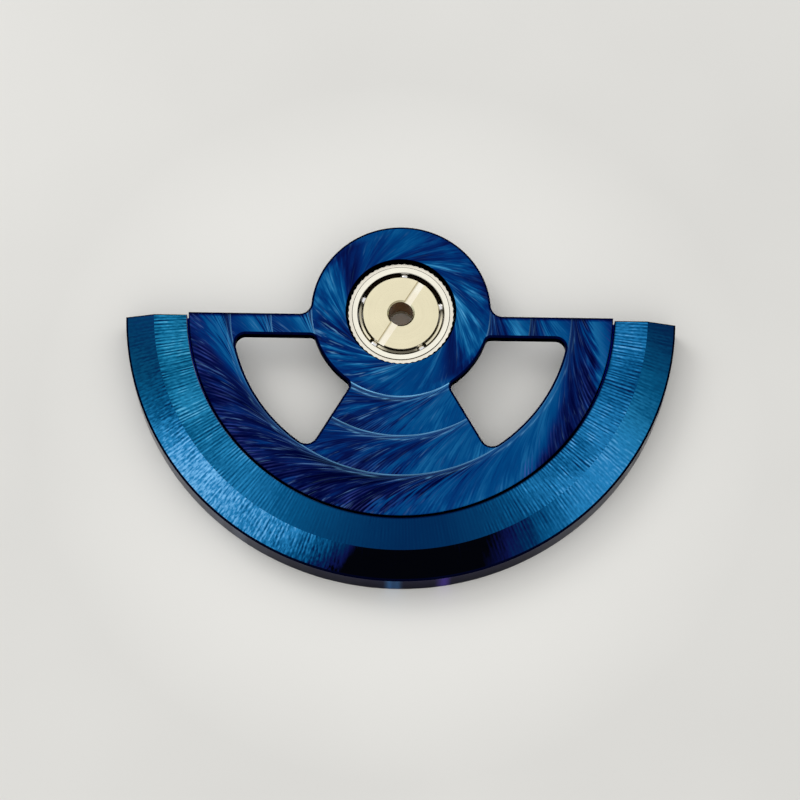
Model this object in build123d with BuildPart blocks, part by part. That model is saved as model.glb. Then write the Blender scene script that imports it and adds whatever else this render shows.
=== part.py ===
"""Automatic watch rotor: a half-round oscillating mass on a skeleton plate, turning on a small ball bearing.

The origin is on the bearing's axis, in the plane that the inner race and the mass both stand on.
+Z points out of the decorated side, +X runs along the straight edge, and the mass hangs towards -Y.
"""

from build123d import *
from math import acos, cos, degrees, radians, sin, sqrt
import os

os.makedirs("parts", exist_ok=True)

# Oscillating mass, the heavy half ring
rotor_radius = 13.5
bevel_width = 1.42
bevel_drop = 0.56
band_width = 1.6
mass_height = 2.1
ledge_width = 1.28
mass_setback = 0.32
mass_edge_break = 0.06

# Rotor plate, seated on the mass's ledge and on the bearing's shoulder
plate_thickness = 0.6
plate_setback = 0.18
plate_rim_gap = 0.08
plate_edge_break = 0.08
hub_radius = 4.41
hub_fillet = 0.6

# The plate's two windows, with the two arms above them and the spoke between them
arm_width = 1.09
window_rim_width = 2.13
spoke_edge_angle = 30.7
spoke_edge_offset = 0.12
window_rim_corner = 0.5
window_foot_corner = 0.55
window_spoke_corner = 0.35
window_hub_corner = 0.28

# Recess in the plate's hub, around the bearing's collar, and the thin land under it
recess_gap = 0.1
recess_land = 0.12

# Balls, on a circle around the axis and a depth below the outer ring's top
ball_count = 5
ball_diameter = 0.6
ball_pitch_radius = 2.0
ball_depth = 0.5
ball_first_angle = 13.5
ball_play = 0.015

# Bearing's outer ring, with a knurled collar that bites the plate
ring_recess = 0.3
ring_lip_step = 0.115
ring_land_width = 0.295
ring_wall = 0.135
ring_skirt = 0.365
collar_step = 0.06
collar_width = 0.19
knurl_depth = 0.055
knurl_count = 54
knurl_gap = 0.005
shoulder_width = 0.35
shoulder_thickness = 0.22

# Toothed ring that drives the winding train, pressed on the outer ring under its shoulder
gear_teeth = 32
gear_rim = 0.12
gear_tooth_height = 0.33
gear_width = 0.5
gear_tip_land = 0.12
gear_root_land = 0.12
gear_seat_gap = 0.005

# Inner race: a slotted cap with a neck, screwed down into a tapered sleeve
cap_lip_step = 0.13
cap_rise = 0.02
neck_wall = 0.445
neck_gap = 0.005
neck_end_gap = 0.04
sleeve_floor = 0.4
sleeve_lip_overhang = 0.27
sleeve_lip_thickness = 0.26
screw_hole_radius = 0.605
screw_hole_break = 0.075
slot_width = 0.39
slot_depth = 0.12
slot_angle = 58.6

# Ball cage, an upright ring with pockets that are open at the top
cage_gap = 0.06
cage_web = 0.16
cage_top_recess = 0.08
pocket_mouth = 0.5

# One overrun for every cut that passes through
overrun = 1.0

# The mass's radii, from the rim inwards, and the plate inside it
bevel_radius = rotor_radius - bevel_width
groove_radius = bevel_radius - band_width
ledge_radius = groove_radius - ledge_width
plate_radius = groove_radius - plate_rim_gap
window_outer_radius = plate_radius - window_rim_width

# The races are a ball's radius and its play around the ball centres' circle
ball_radius = ball_diameter / 2
race_radius = ball_radius + ball_play
race_inner_radius = ball_pitch_radius - race_radius

# The bearing's radii, outwards and inwards from the ball centres' circle
ring_lip_radius = ball_pitch_radius + ring_lip_step
ring_land_radius = ring_lip_radius + ring_land_width
ring_body_radius = ball_pitch_radius + race_radius + ring_wall
knurl_radius = ring_land_radius + collar_width
recess_radius = knurl_radius + recess_gap
shoulder_radius = knurl_radius + shoulder_width
gear_bore_radius = ring_body_radius + gear_seat_gap
gear_root_radius = gear_bore_radius + gear_rim
gear_tip_radius = gear_root_radius + gear_tooth_height
cap_radius = ball_pitch_radius - cap_lip_step
neck_radius = screw_hole_radius + neck_wall
sleeve_foot_radius = cap_radius - sleeve_lip_overhang

# Levels above the seat plane
rim_height = mass_height - bevel_drop
plate_top = mass_height
plate_bottom = plate_top - plate_thickness
ring_top = plate_top - ring_recess
collar_top = ring_top - collar_step
shoulder_bottom = plate_bottom - shoulder_thickness
cap_top = ring_top + cap_rise
cage_top = ring_top - cage_top_recess
ball_height = ring_top - ball_depth
ring_bottom = ball_height - race_radius - ring_skirt
cage_bottom = ball_height - race_radius - cage_web
sleeve_lip_bottom = ball_height - ball_radius - sleeve_lip_thickness


def lip_height(lip_radius):
    """Height above the ball centres at which a race meets its lip."""
    return sqrt(race_radius**2 - (lip_radius - ball_pitch_radius) ** 2)


def race_point(angle):
    """Point of the race's section circle, at an angle from the outward direction."""
    return (
        ball_pitch_radius + race_radius * cos(radians(angle)),
        ball_height + race_radius * sin(radians(angle)),
    )


def ring_point(radius, angle):
    """Point at a radius and an angle in degrees around the axis."""
    return (radius * cos(radians(angle)), radius * sin(radians(angle)))


def save(piece, name):
    """Labels a finished piece and writes it under its own name."""
    piece.label = name
    export_step(piece, f"parts/{name}.step")


# Oscillating mass: flat band, bevel, wall and foot turned in one profile, with a ledge under the plate
with BuildPart() as oscillating_mass:
    with BuildSketch(Plane.XZ):
        with BuildLine():
            Polyline(
                (ledge_radius, 0),
                (rotor_radius, 0),
                (rotor_radius, rim_height),
                (bevel_radius, mass_height),
                (groove_radius, mass_height),
                (groove_radius, plate_bottom),
                (ledge_radius, plate_bottom),
                close=True,
            )
        make_face()
    revolve(axis=Axis.Z)
    split(bisect_by=Plane.XZ.offset(mass_setback), keep=Keep.TOP)
    rim_edge = (
        oscillating_mass.edges()
        .filter_by(GeomType.CIRCLE)
        .filter_by_position(Axis.Z, rim_height - mass_edge_break, rim_height + mass_edge_break)
        .sort_by(SortBy.RADIUS)[-1:]
    )
    end_edges = (
        oscillating_mass.faces()
        .filter_by(Axis.Y)
        .edges()
        .filter_by_position(Axis.Z, rim_height, mass_height + mass_edge_break)
        .filter_by(Axis.Z, reverse=True)
    )
    chamfer(rim_edge + end_edges, mass_edge_break)
save(oscillating_mass.part, "oscillating_mass")

# Rotor plate: a half disc with a round hub, two windows, a recess and a hole for the bearing
with BuildPart() as rotor_plate:
    with BuildSketch(Plane.XY.offset(plate_bottom)) as plate_outline:
        Circle(plate_radius)
        with Locations((0, -plate_setback)):
            Rectangle(2 * rotor_radius, rotor_radius, align=(Align.CENTER, Align.MIN), mode=Mode.SUBTRACT)
        Circle(hub_radius)
        hub_corners = plate_outline.vertices().filter_by(
            lambda corner: abs(corner.X) < (hub_radius + plate_radius) / 2
        )
        fillet(hub_corners, hub_fillet)
    extrude(amount=plate_thickness)
    with BuildSketch(Plane.XY.offset(plate_bottom)) as windows:
        Circle(window_outer_radius)
        Circle(hub_radius, mode=Mode.SUBTRACT)
        with Locations((0, -plate_setback - arm_width)):
            Rectangle(2 * rotor_radius, 2 * rotor_radius, align=(Align.CENTER, Align.MIN), mode=Mode.SUBTRACT)
        spoke_lean = radians(spoke_edge_angle)
        spoke_top = spoke_edge_offset / cos(spoke_lean)
        spoke_foot = spoke_top + rotor_radius * sin(spoke_lean) / cos(spoke_lean)
        with BuildLine():
            Polyline(
                (-spoke_top, 0),
                (-spoke_foot, -rotor_radius),
                (spoke_foot, -rotor_radius),
                (spoke_top, 0),
                close=True,
            )
        make_face(mode=Mode.SUBTRACT)
        fillet(windows.vertices().sort_by(Axis.Y)[:2], window_foot_corner)
        side_corners = windows.vertices().sort_by(Axis.X)
        fillet([side_corners[0], side_corners[-1]], window_rim_corner)
        arm_corners = windows.vertices().group_by(Axis.Y)[-1]
        fillet(arm_corners.sort_by(lambda corner: abs(corner.X))[:2], window_hub_corner)
        fillet(windows.vertices().sort_by(lambda corner: abs(corner.X))[:2], window_spoke_corner)
    extrude(amount=plate_thickness, mode=Mode.SUBTRACT)
    chamfer(rotor_plate.faces().sort_by(Axis.Z)[-1].edges(), plate_edge_break)
    with Locations((0, 0, plate_top)):
        CounterBoreHole(
            radius=knurl_radius + knurl_gap,
            counter_bore_radius=recess_radius,
            counter_bore_depth=plate_thickness - recess_land,
            depth=plate_thickness,
        )
save(rotor_plate.part, "rotor_plate")

# Outer ring: race, land, shoulder and body turned in one profile, then the knurled collar
knurl_pitch = 360 / knurl_count
knurl_root_radius = knurl_radius - knurl_depth
knurl_points = [
    ring_point(radius, (tooth + turn) * knurl_pitch)
    for tooth in range(knurl_count)
    for radius, turn in ((knurl_radius, 0), (knurl_root_radius, 1 / 2))
]
ring_lip_height = lip_height(ring_lip_radius)
with BuildPart() as bearing_outer_ring:
    with BuildSketch(Plane.XZ):
        with BuildLine():
            Polyline(
                (ring_lip_radius, ball_height - ring_lip_height),
                (ring_lip_radius, ring_bottom),
                (ring_body_radius, ring_bottom),
                (ring_body_radius, shoulder_bottom),
                (shoulder_radius, shoulder_bottom),
                (shoulder_radius, plate_bottom),
                (knurl_root_radius, plate_bottom),
                (knurl_root_radius, collar_top),
                (ring_land_radius, collar_top),
                (ring_land_radius, ring_top),
                (ring_lip_radius, ring_top),
                (ring_lip_radius, ball_height + ring_lip_height),
            )
            ThreePointArc(
                (ring_lip_radius, ball_height + ring_lip_height),
                race_point(0),
                (ring_lip_radius, ball_height - ring_lip_height),
            )
        make_face()
    revolve(axis=Axis.Z)
    with BuildSketch(Plane.XY.offset(plate_bottom)):
        with BuildLine():
            Polyline(*knurl_points, close=True)
        make_face()
        Circle(ring_land_radius, mode=Mode.SUBTRACT)
    extrude(amount=collar_top - plate_bottom)
save(bearing_outer_ring.part, "bearing_outer_ring")

# Drive gear: straight teeth around the ring's body, up against the shoulder
gear_pitch = 360 / gear_teeth
tip_half_angle = degrees(gear_tip_land / gear_tip_radius) / 2
root_half_angle = degrees(gear_root_land / gear_root_radius) / 2
gear_points = [
    ring_point(radius, tooth * gear_pitch + turn)
    for tooth in range(gear_teeth)
    for radius, turn in (
        (gear_tip_radius, -tip_half_angle),
        (gear_tip_radius, tip_half_angle),
        (gear_root_radius, gear_pitch / 2 - root_half_angle),
        (gear_root_radius, gear_pitch / 2 + root_half_angle),
    )
]
with BuildPart() as drive_gear:
    with BuildSketch(Plane.XY.offset(shoulder_bottom)):
        with BuildLine():
            Polyline(*gear_points, close=True)
        make_face()
        Circle(gear_bore_radius, mode=Mode.SUBTRACT)
    extrude(amount=-gear_width)
save(drive_gear.part, "drive_gear")

# Inner race's cap: the slotted disc over the balls, with the neck that goes down into the sleeve
cap_lip_height = lip_height(cap_radius)
cap_lip_angle = degrees(acos((cap_radius - ball_pitch_radius) / race_radius))
race_middle_angle = (180 + cap_lip_angle) / 2
with BuildPart() as inner_race_cap:
    with BuildSketch(Plane.XZ):
        with BuildLine():
            Polyline(
                (race_inner_radius, ball_height),
                (neck_radius - neck_gap, ball_height),
                (neck_radius - neck_gap, sleeve_floor + neck_end_gap),
                (screw_hole_radius, sleeve_floor + neck_end_gap),
                (screw_hole_radius, cap_top - screw_hole_break),
                (screw_hole_radius + screw_hole_break, cap_top),
                (cap_radius, cap_top),
                (cap_radius, ball_height + cap_lip_height),
            )
            ThreePointArc(
                (cap_radius, ball_height + cap_lip_height),
                race_point(race_middle_angle),
                (race_inner_radius, ball_height),
            )
        make_face()
    revolve(axis=Axis.Z)
    slot_plane = Plane((0, 0, cap_top), x_dir=(*ring_point(1, slot_angle), 0), z_dir=(0, 0, 1))
    with BuildSketch(slot_plane):
        Rectangle(2 * cap_radius + overrun, slot_width)
    extrude(amount=-slot_depth, mode=Mode.SUBTRACT)
save(inner_race_cap.part, "inner_race_cap")

# Inner race's sleeve: the lower half of the race, standing on its foot on the seat plane
with BuildPart() as inner_race_sleeve:
    with BuildSketch(Plane.XZ):
        with BuildLine():
            Polyline(
                (race_inner_radius, ball_height),
                (neck_radius, ball_height),
                (neck_radius, sleeve_floor),
                (screw_hole_radius, sleeve_floor),
                (screw_hole_radius, 0),
                (sleeve_foot_radius, 0),
                (cap_radius, sleeve_lip_bottom),
                (cap_radius, ball_height - cap_lip_height),
            )
            ThreePointArc(
                (cap_radius, ball_height - cap_lip_height),
                race_point(-race_middle_angle),
                (race_inner_radius, ball_height),
            )
        make_face()
    revolve(axis=Axis.Z)
save(inner_race_sleeve.part, "inner_race_sleeve")

# Ball cage: an upright ring, with one round pocket for each ball and a narrower mouth above it
ball_angles = [ball_first_angle + number * 360 / ball_count for number in range(ball_count)]
with BuildPart() as ball_cage:
    with BuildSketch(Plane.XY.offset(cage_bottom)):
        Circle(ring_lip_radius - cage_gap)
        Circle(cap_radius + cage_gap, mode=Mode.SUBTRACT)
    extrude(amount=cage_top - cage_bottom)
    for angle in ball_angles:
        pocket_plane = Plane(
            (0, 0, ball_height),
            x_dir=(*ring_point(1, angle + 90), 0),
            z_dir=(*ring_point(1, angle), 0),
        )
        with BuildSketch(pocket_plane):
            Circle(race_radius)
            Rectangle(pocket_mouth, overrun, align=(Align.CENTER, Align.MIN))
        extrude(amount=ring_lip_radius, mode=Mode.SUBTRACT)
save(ball_cage.part, "ball_cage")

# Balls, one in each pocket
for number, angle in enumerate(ball_angles, start=1):
    with BuildPart() as ball:
        with Locations((*ring_point(ball_pitch_radius, angle), ball_height)):
            Sphere(ball_radius)
    save(ball.part, f"ball_{number}")
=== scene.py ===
"""Automatic watch rotor on its ball bearing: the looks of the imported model, laid out as a Blender add-on."""

import math
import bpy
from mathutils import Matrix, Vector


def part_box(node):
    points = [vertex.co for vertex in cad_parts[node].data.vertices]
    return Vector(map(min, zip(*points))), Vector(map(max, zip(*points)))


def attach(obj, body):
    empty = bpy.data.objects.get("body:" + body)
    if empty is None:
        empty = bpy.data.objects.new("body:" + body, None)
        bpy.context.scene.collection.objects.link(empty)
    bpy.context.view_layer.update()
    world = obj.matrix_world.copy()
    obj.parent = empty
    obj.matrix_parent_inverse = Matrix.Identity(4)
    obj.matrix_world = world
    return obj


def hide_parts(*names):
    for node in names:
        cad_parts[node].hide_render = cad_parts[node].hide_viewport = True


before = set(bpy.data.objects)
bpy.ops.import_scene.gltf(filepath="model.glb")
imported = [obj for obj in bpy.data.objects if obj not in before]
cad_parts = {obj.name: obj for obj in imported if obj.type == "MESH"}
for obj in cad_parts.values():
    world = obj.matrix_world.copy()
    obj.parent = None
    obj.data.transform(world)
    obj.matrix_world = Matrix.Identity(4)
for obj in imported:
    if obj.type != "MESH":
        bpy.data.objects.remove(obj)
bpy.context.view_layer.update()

from types import SimpleNamespace

import bmesh
import bpy
from bpy.props import FloatProperty, FloatVectorProperty, IntProperty, PointerProperty
from mathutils import Matrix, Vector
from mathutils.geometry import tessellate_polygon

bl_info = {
    "name": "Automatic Watch Rotor",
    "version": (1, 0, 0),
    "blender": (4, 5, 0),
    "location": "View3D > Sidebar > Watch Rotor",
    "description": "Builds a blued automatic watch rotor with a striped plate and a ball bearing",
    "category": "Add Mesh",
}

MM = 0.001
MASS_BOX, PLATE_BOX, RING_BOX, CAGE_BOX, GEAR_BOX, CAP_BOX = (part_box(node) for node in (
    "oscillating_mass", "rotor_plate", "bearing_outer_ring", "ball_cage", "drive_gear", "inner_race_cap",
))

# Steps of the turned pieces and of the arcs, and the columns of one brushing groove
TURNED_STEPS = 240
HOLE_STEPS = 180
RIM_STEPS = 240
HUB_STEPS = 130
WINDOW_STEPS = 60
SPOKE_STEPS = 30
FILLET_STEPS = 14
CORNER_STEPS = 12
RACE_STEPS = 12
POCKET_STEPS = 36
GROOVE_COLUMNS = 6

# Degrees up to which an edge is shaded smooth, and limits of a face's normal where zones are told apart
SMOOTH_LIMIT = 28.0
BALL_SMOOTH_LIMIT = 40.0
UPRIGHT = 0.1
SIDEWAYS = 0.3
LEVEL = 0.9
STRAIGHT_UP = 0.99

# Small lengths in millimetres, points along either arm's straight edge, and the balls' places
SOFT_EDGE = 0.02
MARGIN = 0.01
HAIR = 0.001
ARM_POINTS = (8.8, 7.4, 6.2)
BALL_PLACES = 5


def length(name, default, description):
    """A size that a user can change, in metres."""
    return FloatProperty(name=name, description=description, default=default, min=0.0, unit="LENGTH", precision=6)


def turn(name, default, description):
    """An angle that a user can change."""
    return FloatProperty(name=name, description=description, default=math.radians(default), unit="ROTATION")


def number(name, default, description, **limits):
    """A whole number that a user can change."""
    return IntProperty(name=name, description=description, default=default, **limits)


def tint(name, red, green, blue, description):
    """A colour that a user can change, given as it shows on a screen from 0 to 255."""
    return FloatVectorProperty(
        name=name, description=description, default=paint(red, green, blue)[:3],
        min=0.0, max=1.0, size=3, subtype="COLOR",
    )


def paint(red, green, blue):
    """A screen colour from 0 to 255 as the linear colour that a shader takes."""
    shares = (value / 255 for value in (red, green, blue))
    return (*(s / 12.92 if s <= 0.04045 else ((s + 0.055) / 1.055) ** 2.4 for s in shares), 1.0)


def scaled(colour, share):
    """A colour made darker or lighter."""
    return (*(min(1.0, value * share) for value in colour[:3]), 1.0)


# Sizes and colours

class MassSizes(bpy.types.PropertyGroup):
    """Sizes of the heavy half ring at the rim."""
    radius: length("Radius", MASS_BOX[1][0], "Outer radius of the mass")
    height: length("Height", MASS_BOX[1][2], "Height of the flat band above the seat")
    bevel_width: length("Bevel Width", 1.42 * MM, "Width of the sloping bevel at the rim")
    bevel_drop: length("Bevel Drop", 0.56 * MM, "How far the bevel falls towards the rim")
    band_width: length("Band Width", 1.6 * MM, "Width of the flat band inside the bevel")
    ledge_width: length("Ledge Width", 1.28 * MM, "Width of the ledge under the plate")
    setback: length("End Setback", 0.32 * MM, "Distance of the two ends from the axis")
    edge_break: length("Edge Break", 0.06 * MM, "Chamfer on the rim and on the ends")
    # Painted shade: width of a near-black strip beside the chamfer.
    edge_margin: length("Edge Margin", 0.045 * MM, "Dark margin of the bevel beside the rim's chamfer")
    foot_break: length("Foot Break", 0.03 * MM, "Chamfer at the foot of the wall")
    groove_break: length("Groove Break", 0.035 * MM, "Chamfer of the band beside the groove")
    ridge_width: length("Ridge Width", 0.02 * MM, "Width of the bright ridge between band and bevel")
    groove_count: number("Brushing Lines", 430, "Brushing lines in a full turn", min=8)
    groove_depth: length("Brushing Depth", 0.0008 * MM, "Depth of the brushing lines")
    groove_seed: number("Brushing Seed", 7, "Seed of the brushing's uneven depth")


class PlateSizes(bpy.types.PropertyGroup):
    """Sizes of the skeleton plate and of its stripes."""
    radius: length("Radius", 10.4 * MM, "Outer radius of the plate")
    thickness: length("Thickness", PLATE_BOX[1][2] - PLATE_BOX[0][2], "Thickness of the plate")
    setback: length("Edge Setback", 0.18 * MM, "Distance of the straight edge from the axis")
    edge_break: length("Edge Break", 0.08 * MM, "Chamfer around the decorated face")
    # Painted shade: width of a dark strip of the face beside the chamfer.
    edge_margin: length("Edge Margin", 0.03 * MM, "Dark margin of the face beside the chamfer")
    hub_radius: length("Hub Radius", PLATE_BOX[1][1], "Radius of the round hub")
    hub_fillet: length("Hub Fillet", 0.6 * MM, "Radius between the hub and the straight edge")
    arm_width: length("Arm Width", 1.09 * MM, "Width of the two arms above the windows")
    window_radius: length("Window Radius", 8.27 * MM, "Outer radius of the two windows")
    spoke_lean: turn("Spoke Lean", 30.7, "Angle of the spoke's edges to its middle line")
    spoke_offset: length("Spoke Offset", 0.12 * MM, "Distance of the spoke's edges from the axis")
    rim_corner: length("Rim Corner", 0.5 * MM, "Corner radius between window rim and arm")
    foot_corner: length("Foot Corner", 0.55 * MM, "Corner radius at the spoke's foot")
    spoke_corner: length("Spoke Corner", 0.35 * MM, "Corner radius between spoke and hub")
    hub_corner: length("Hub Corner", 0.28 * MM, "Corner radius between arm and hub")
    recess_radius: length("Recess Radius", 2.7 * MM, "Radius of the recess around the bearing")
    recess_land: length("Recess Land", 0.12 * MM, "Thickness left under the recess")
    bore_radius: length("Bore Radius", 2.605 * MM, "Radius of the hole for the bearing")
    stripe_first: length("First Stripe Radius", 2.363 * MM, "Inner radius of the innermost circular stripe")
    stripe_width: length("Stripe Width", 1.992 * MM, "Width of one circular stripe")
    stripe_sweep: length("Stripe Sweep", 1.42 * MM, "How far the strokes fan out in a stripe")
    stroke_count: number("Strokes", 288, "Cutter strokes in a full turn", min=8)


class BearingSizes(bpy.types.PropertyGroup):
    """Sizes of the ball bearing and of the toothed ring on it."""
    ring_lip_radius: length("Ring Lip Radius", 2.115 * MM, "Inner radius of the outer ring's lips")
    lip_break: length("Ring Lip Break", 0.03 * MM, "Chamfer on the outer ring's lip")
    land_break: length("Ring Land Break", 0.032 * MM, "Chamfer around the outer ring's land")
    ring_break: length("Ring Break", 0.015 * MM, "Chamfer on the outer ring's other edges")
    ring_land_radius: length("Ring Land Radius", 2.41 * MM, "Radius of the raised land")
    ring_body_radius: length("Ring Body Radius", 2.45 * MM, "Radius of the ring's body")
    knurl_radius: length("Knurl Radius", 2.6 * MM, "Radius over the knurled collar")
    knurl_depth: length("Knurl Depth", 0.034 * MM, "Depth of the collar's serrations")
    knurl_count: number("Serrations", 54, "Serrations around the collar", min=8)
    collar_top: length("Collar Height", 1.74 * MM, "Height of the knurled collar above the seat")
    shoulder_radius: length("Shoulder Radius", RING_BOX[1][0], "Radius of the shoulder under the plate")
    shoulder_bottom: length("Shoulder Level", 1.28 * MM, "Level of the shoulder's underside")
    ball_circle: length("Ball Circle", 2.0 * MM, "Radius of the circle through the ball centres")
    ball_diameter: length("Ball Diameter", 0.6 * MM, "Diameter of one ball")
    ball_play: length("Ball Play", 0.015 * MM, "Play between a ball and its race")
    ball_level: length("Ball Level", 1.3 * MM, "Height of the ball centres above the seat")
    ball_count: number("Balls", BALL_PLACES, "Number of balls", min=1, max=BALL_PLACES)
    ball_turn: turn("First Ball", 13.5, "Angle of the first ball from the straight edge")
    cage_gap: length("Cage Gap", 0.06 * MM, "Gap between the cage and either race")
    cage_break: length("Cage Break", 0.012 * MM, "Chamfer on the cage's upper edges")
    pocket_mouth: length("Pocket Mouth", 0.5 * MM, "Width of the open mouth over each pocket")
    cap_radius: length("Cap Radius", CAP_BOX[1][0], "Radius of the slotted cap")
    cap_break: length("Cap Break", 0.022 * MM, "Chamfer around the slotted cap")
    neck_radius: length("Neck Radius", 1.045 * MM, "Radius of the cap's neck")
    hole_radius: length("Screw Hole Radius", 0.605 * MM, "Radius of the screw hole")
    hole_break: length("Screw Hole Break", 0.075 * MM, "Chamfer of the screw hole")
    slot_width: length("Slot Width", 0.39 * MM, "Width of the screwdriver slot")
    slot_depth: length("Slot Depth", 0.12 * MM, "Depth of the screwdriver slot")
    slot_turn: turn("Slot Angle", 58.6, "Angle of the screwdriver slot")
    neck_bore_radius: length("Neck Bore Radius", 1.05 * MM, "Radius of the sleeve's bore for the neck")
    foot_radius: length("Foot Radius", 1.6 * MM, "Radius of the sleeve's foot")
    sleeve_floor: length("Sleeve Floor", 0.4 * MM, "Thickness of the sleeve's floor")
    sleeve_lip: length("Sleeve Lip Level", 0.74 * MM, "Level at which the sleeve's cone ends")
    gear_tip_radius: length("Gear Tip Radius", 2.905 * MM, "Radius over the drive teeth")
    gear_root_radius: length("Gear Root Radius", 2.575 * MM, "Radius at the bottom of the drive teeth")
    gear_bore_radius: length("Gear Bore Radius", 2.455 * MM, "Bore of the toothed ring")
    gear_land: length("Tooth Land", 0.12 * MM, "Width of a tooth's tip and of the gap's floor")
    gear_count: number("Drive Teeth", 32, "Teeth of the toothed ring", min=8)


class FinishColours(bpy.types.PropertyGroup):
    """Colours of the blued metal, of the bearing and of the stage."""
    # The mass's tones are picked by a painted sheen: the blue black paints the black reflection on the bevel, and the
    # brighter tones its painted bright reaches and lines.
    blue_black: tint("Blue Black", 3, 4, 9, "Darkest tone of the blued mass")
    mass_navy: tint("Mass Navy", 3, 42, 86, "Dark tone of the blued mass")
    mass_teal: tint("Mass Teal", 8, 84, 134, "Middle tone of the blued mass")
    mass_azure: tint("Mass Azure", 38, 132, 192, "Bright tone of the blued mass")
    mass_pale: tint("Mass Pale", 128, 198, 248, "Palest streaks of the blued mass")
    # The plate's tones are picked by a sheen painted by the strokes' direction; the palest also paints the highlights
    # along the stripes' steps.
    plate_ink: tint("Plate Ink", 0, 5, 50, "Darkest tone of the striped plate")
    plate_navy: tint("Plate Navy", 6, 19, 74, "Dark tone of the striped plate")
    plate_blue: tint("Plate Blue", 2, 70, 129, "Middle tone of the striped plate")
    plate_azure: tint("Plate Azure", 36, 124, 178, "Bright tone of the striped plate")
    plate_pale: tint("Plate Pale", 132, 206, 250, "Palest strokes of the striped plate")
    # Painted highlights on the plate: pale flecks that glint near the rim, and fine stroke lines lit by the strokes'
    # direction.
    fleck_blue: tint("Fleck Blue", 104, 150, 208, "Pale flecks near the plate's rim")
    thread_violet: tint("Thread Violet", 92, 100, 196, "Even fine lines near the plate's rim")
    thread_blue: tint("Thread Blue", 78, 146, 206, "Even fine lines on the spoke and around the hub")
    # Painted shade: the near-black blue of the outlines, the chamfers and the groove's edges.
    edge_ink: tint("Edge Ink", 1, 8, 48, "Dark outline of the plate")
    wall_violet: tint("Wall Violet", 40, 38, 54, "Polished outer wall")
    ring_steel: tint("Ring Steel", 250, 244, 228, "Outer ring of the bearing")
    cap_nickel: tint("Cap Nickel", 238, 229, 196, "Slotted cap")
    cage_metal: tint("Cage Metal", 255, 246, 216, "Ball cage")
    cage_shade: tint("Cage Shade", 16, 10, 5, "Shaded side of the ball cage")
    ball_metal: tint("Ball Metal", 236, 236, 238, "Balls")
    gear_brass: tint("Gear Brass", 214, 178, 112, "Toothed ring")
    floor: tint("Floor", 219, 218, 214, "Floor of the stage")


class RotorSettings(bpy.types.PropertyGroup):
    """All sizes and colours of the rotor."""
    mass: PointerProperty(type=MassSizes, name="Mass", description="Sizes of the mass")
    plate: PointerProperty(type=PlateSizes, name="Plate", description="Sizes of the plate")
    bearing: PointerProperty(type=BearingSizes, name="Bearing", description="Sizes of the bearing")
    colours: PointerProperty(type=FinishColours, name="Colours", description="Colours of the finishes")


def plain(group):
    """A group's values under their own names: lengths in millimetres, and colours with their alpha."""
    values = {}
    for key, entry in group.bl_rna.properties.items():
        if key not in ("rna_type", "name"):
            value = getattr(group, key)
            if entry.subtype == "COLOR":
                value = (*value, 1.0)
            elif entry.unit == "LENGTH":
                value = value / MM
            values[key] = value
    return SimpleNamespace(**values)


def given(context, part):
    """One part's sizes, and the colours."""
    settings = context.scene.watch_rotor
    return plain(getattr(settings, part)), plain(settings.colours)


def levels(box):
    """The lowest and the highest level of a CAD node's box, in millimetres."""
    return box[0][2] / MM, box[1][2] / MM


# Node trees

class Term:
    """A value on a node tree, which sums can be written with."""

    def __init__(self, board, socket):
        self.board = board
        self.socket = socket

    def run(self, operation, *others):
        """A Math node on this value and on others."""
        return self.board.math(operation, self, *others)

    def __add__(self, other):
        return self.board.math("ADD", self, other)

    def __sub__(self, other):
        return self.board.math("SUBTRACT", self, other)

    def __rsub__(self, other):
        return self.board.math("SUBTRACT", other, self)

    def __mul__(self, other):
        return self.board.math("MULTIPLY", self, other)

    def __truediv__(self, other):
        return self.board.math("DIVIDE", self, other)

    def spread(self, low, high, new_low=0.0, new_high=1.0):
        """The value moved from one range to another and held inside it."""
        names = ("Value", "From Min", "From Max", "To Min", "To Max")
        values = dict(zip(names, (self, low, high, new_low, new_high)))
        return self.board.add("ShaderNodeMapRange", values, "Result", clamp=True)

    def to(self, low, high):
        """A share from 0 to 1 moved to another range."""
        return self.spread(0.0, 1.0, low, high)

    def ramp(self, stops, first=0.0, last=1.0):
        """A colour ramp, from pairs of a place between first and last and a colour or a plain level."""
        new = self.board.node("ShaderNodeValToRGB", {"Fac": self})
        elements = new.color_ramp.elements
        elements.remove(elements[-1])
        for count, (place, colour) in enumerate(stops):
            position = (place - first) / (last - first)
            stop = elements.new(position) if count else elements[0]
            stop.position = position
            stop.color = colour if isinstance(colour, tuple) else (colour, colour, colour, 1.0)
        return Term(self.board, new.outputs["Color"])

    def around(self, stops, last=0.0):
        """A colour ramp over an angle, with its places in degrees from -180 to the last."""
        return self.spread(-math.pi, math.radians(last)).ramp(stops, -180.0, last)


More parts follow.
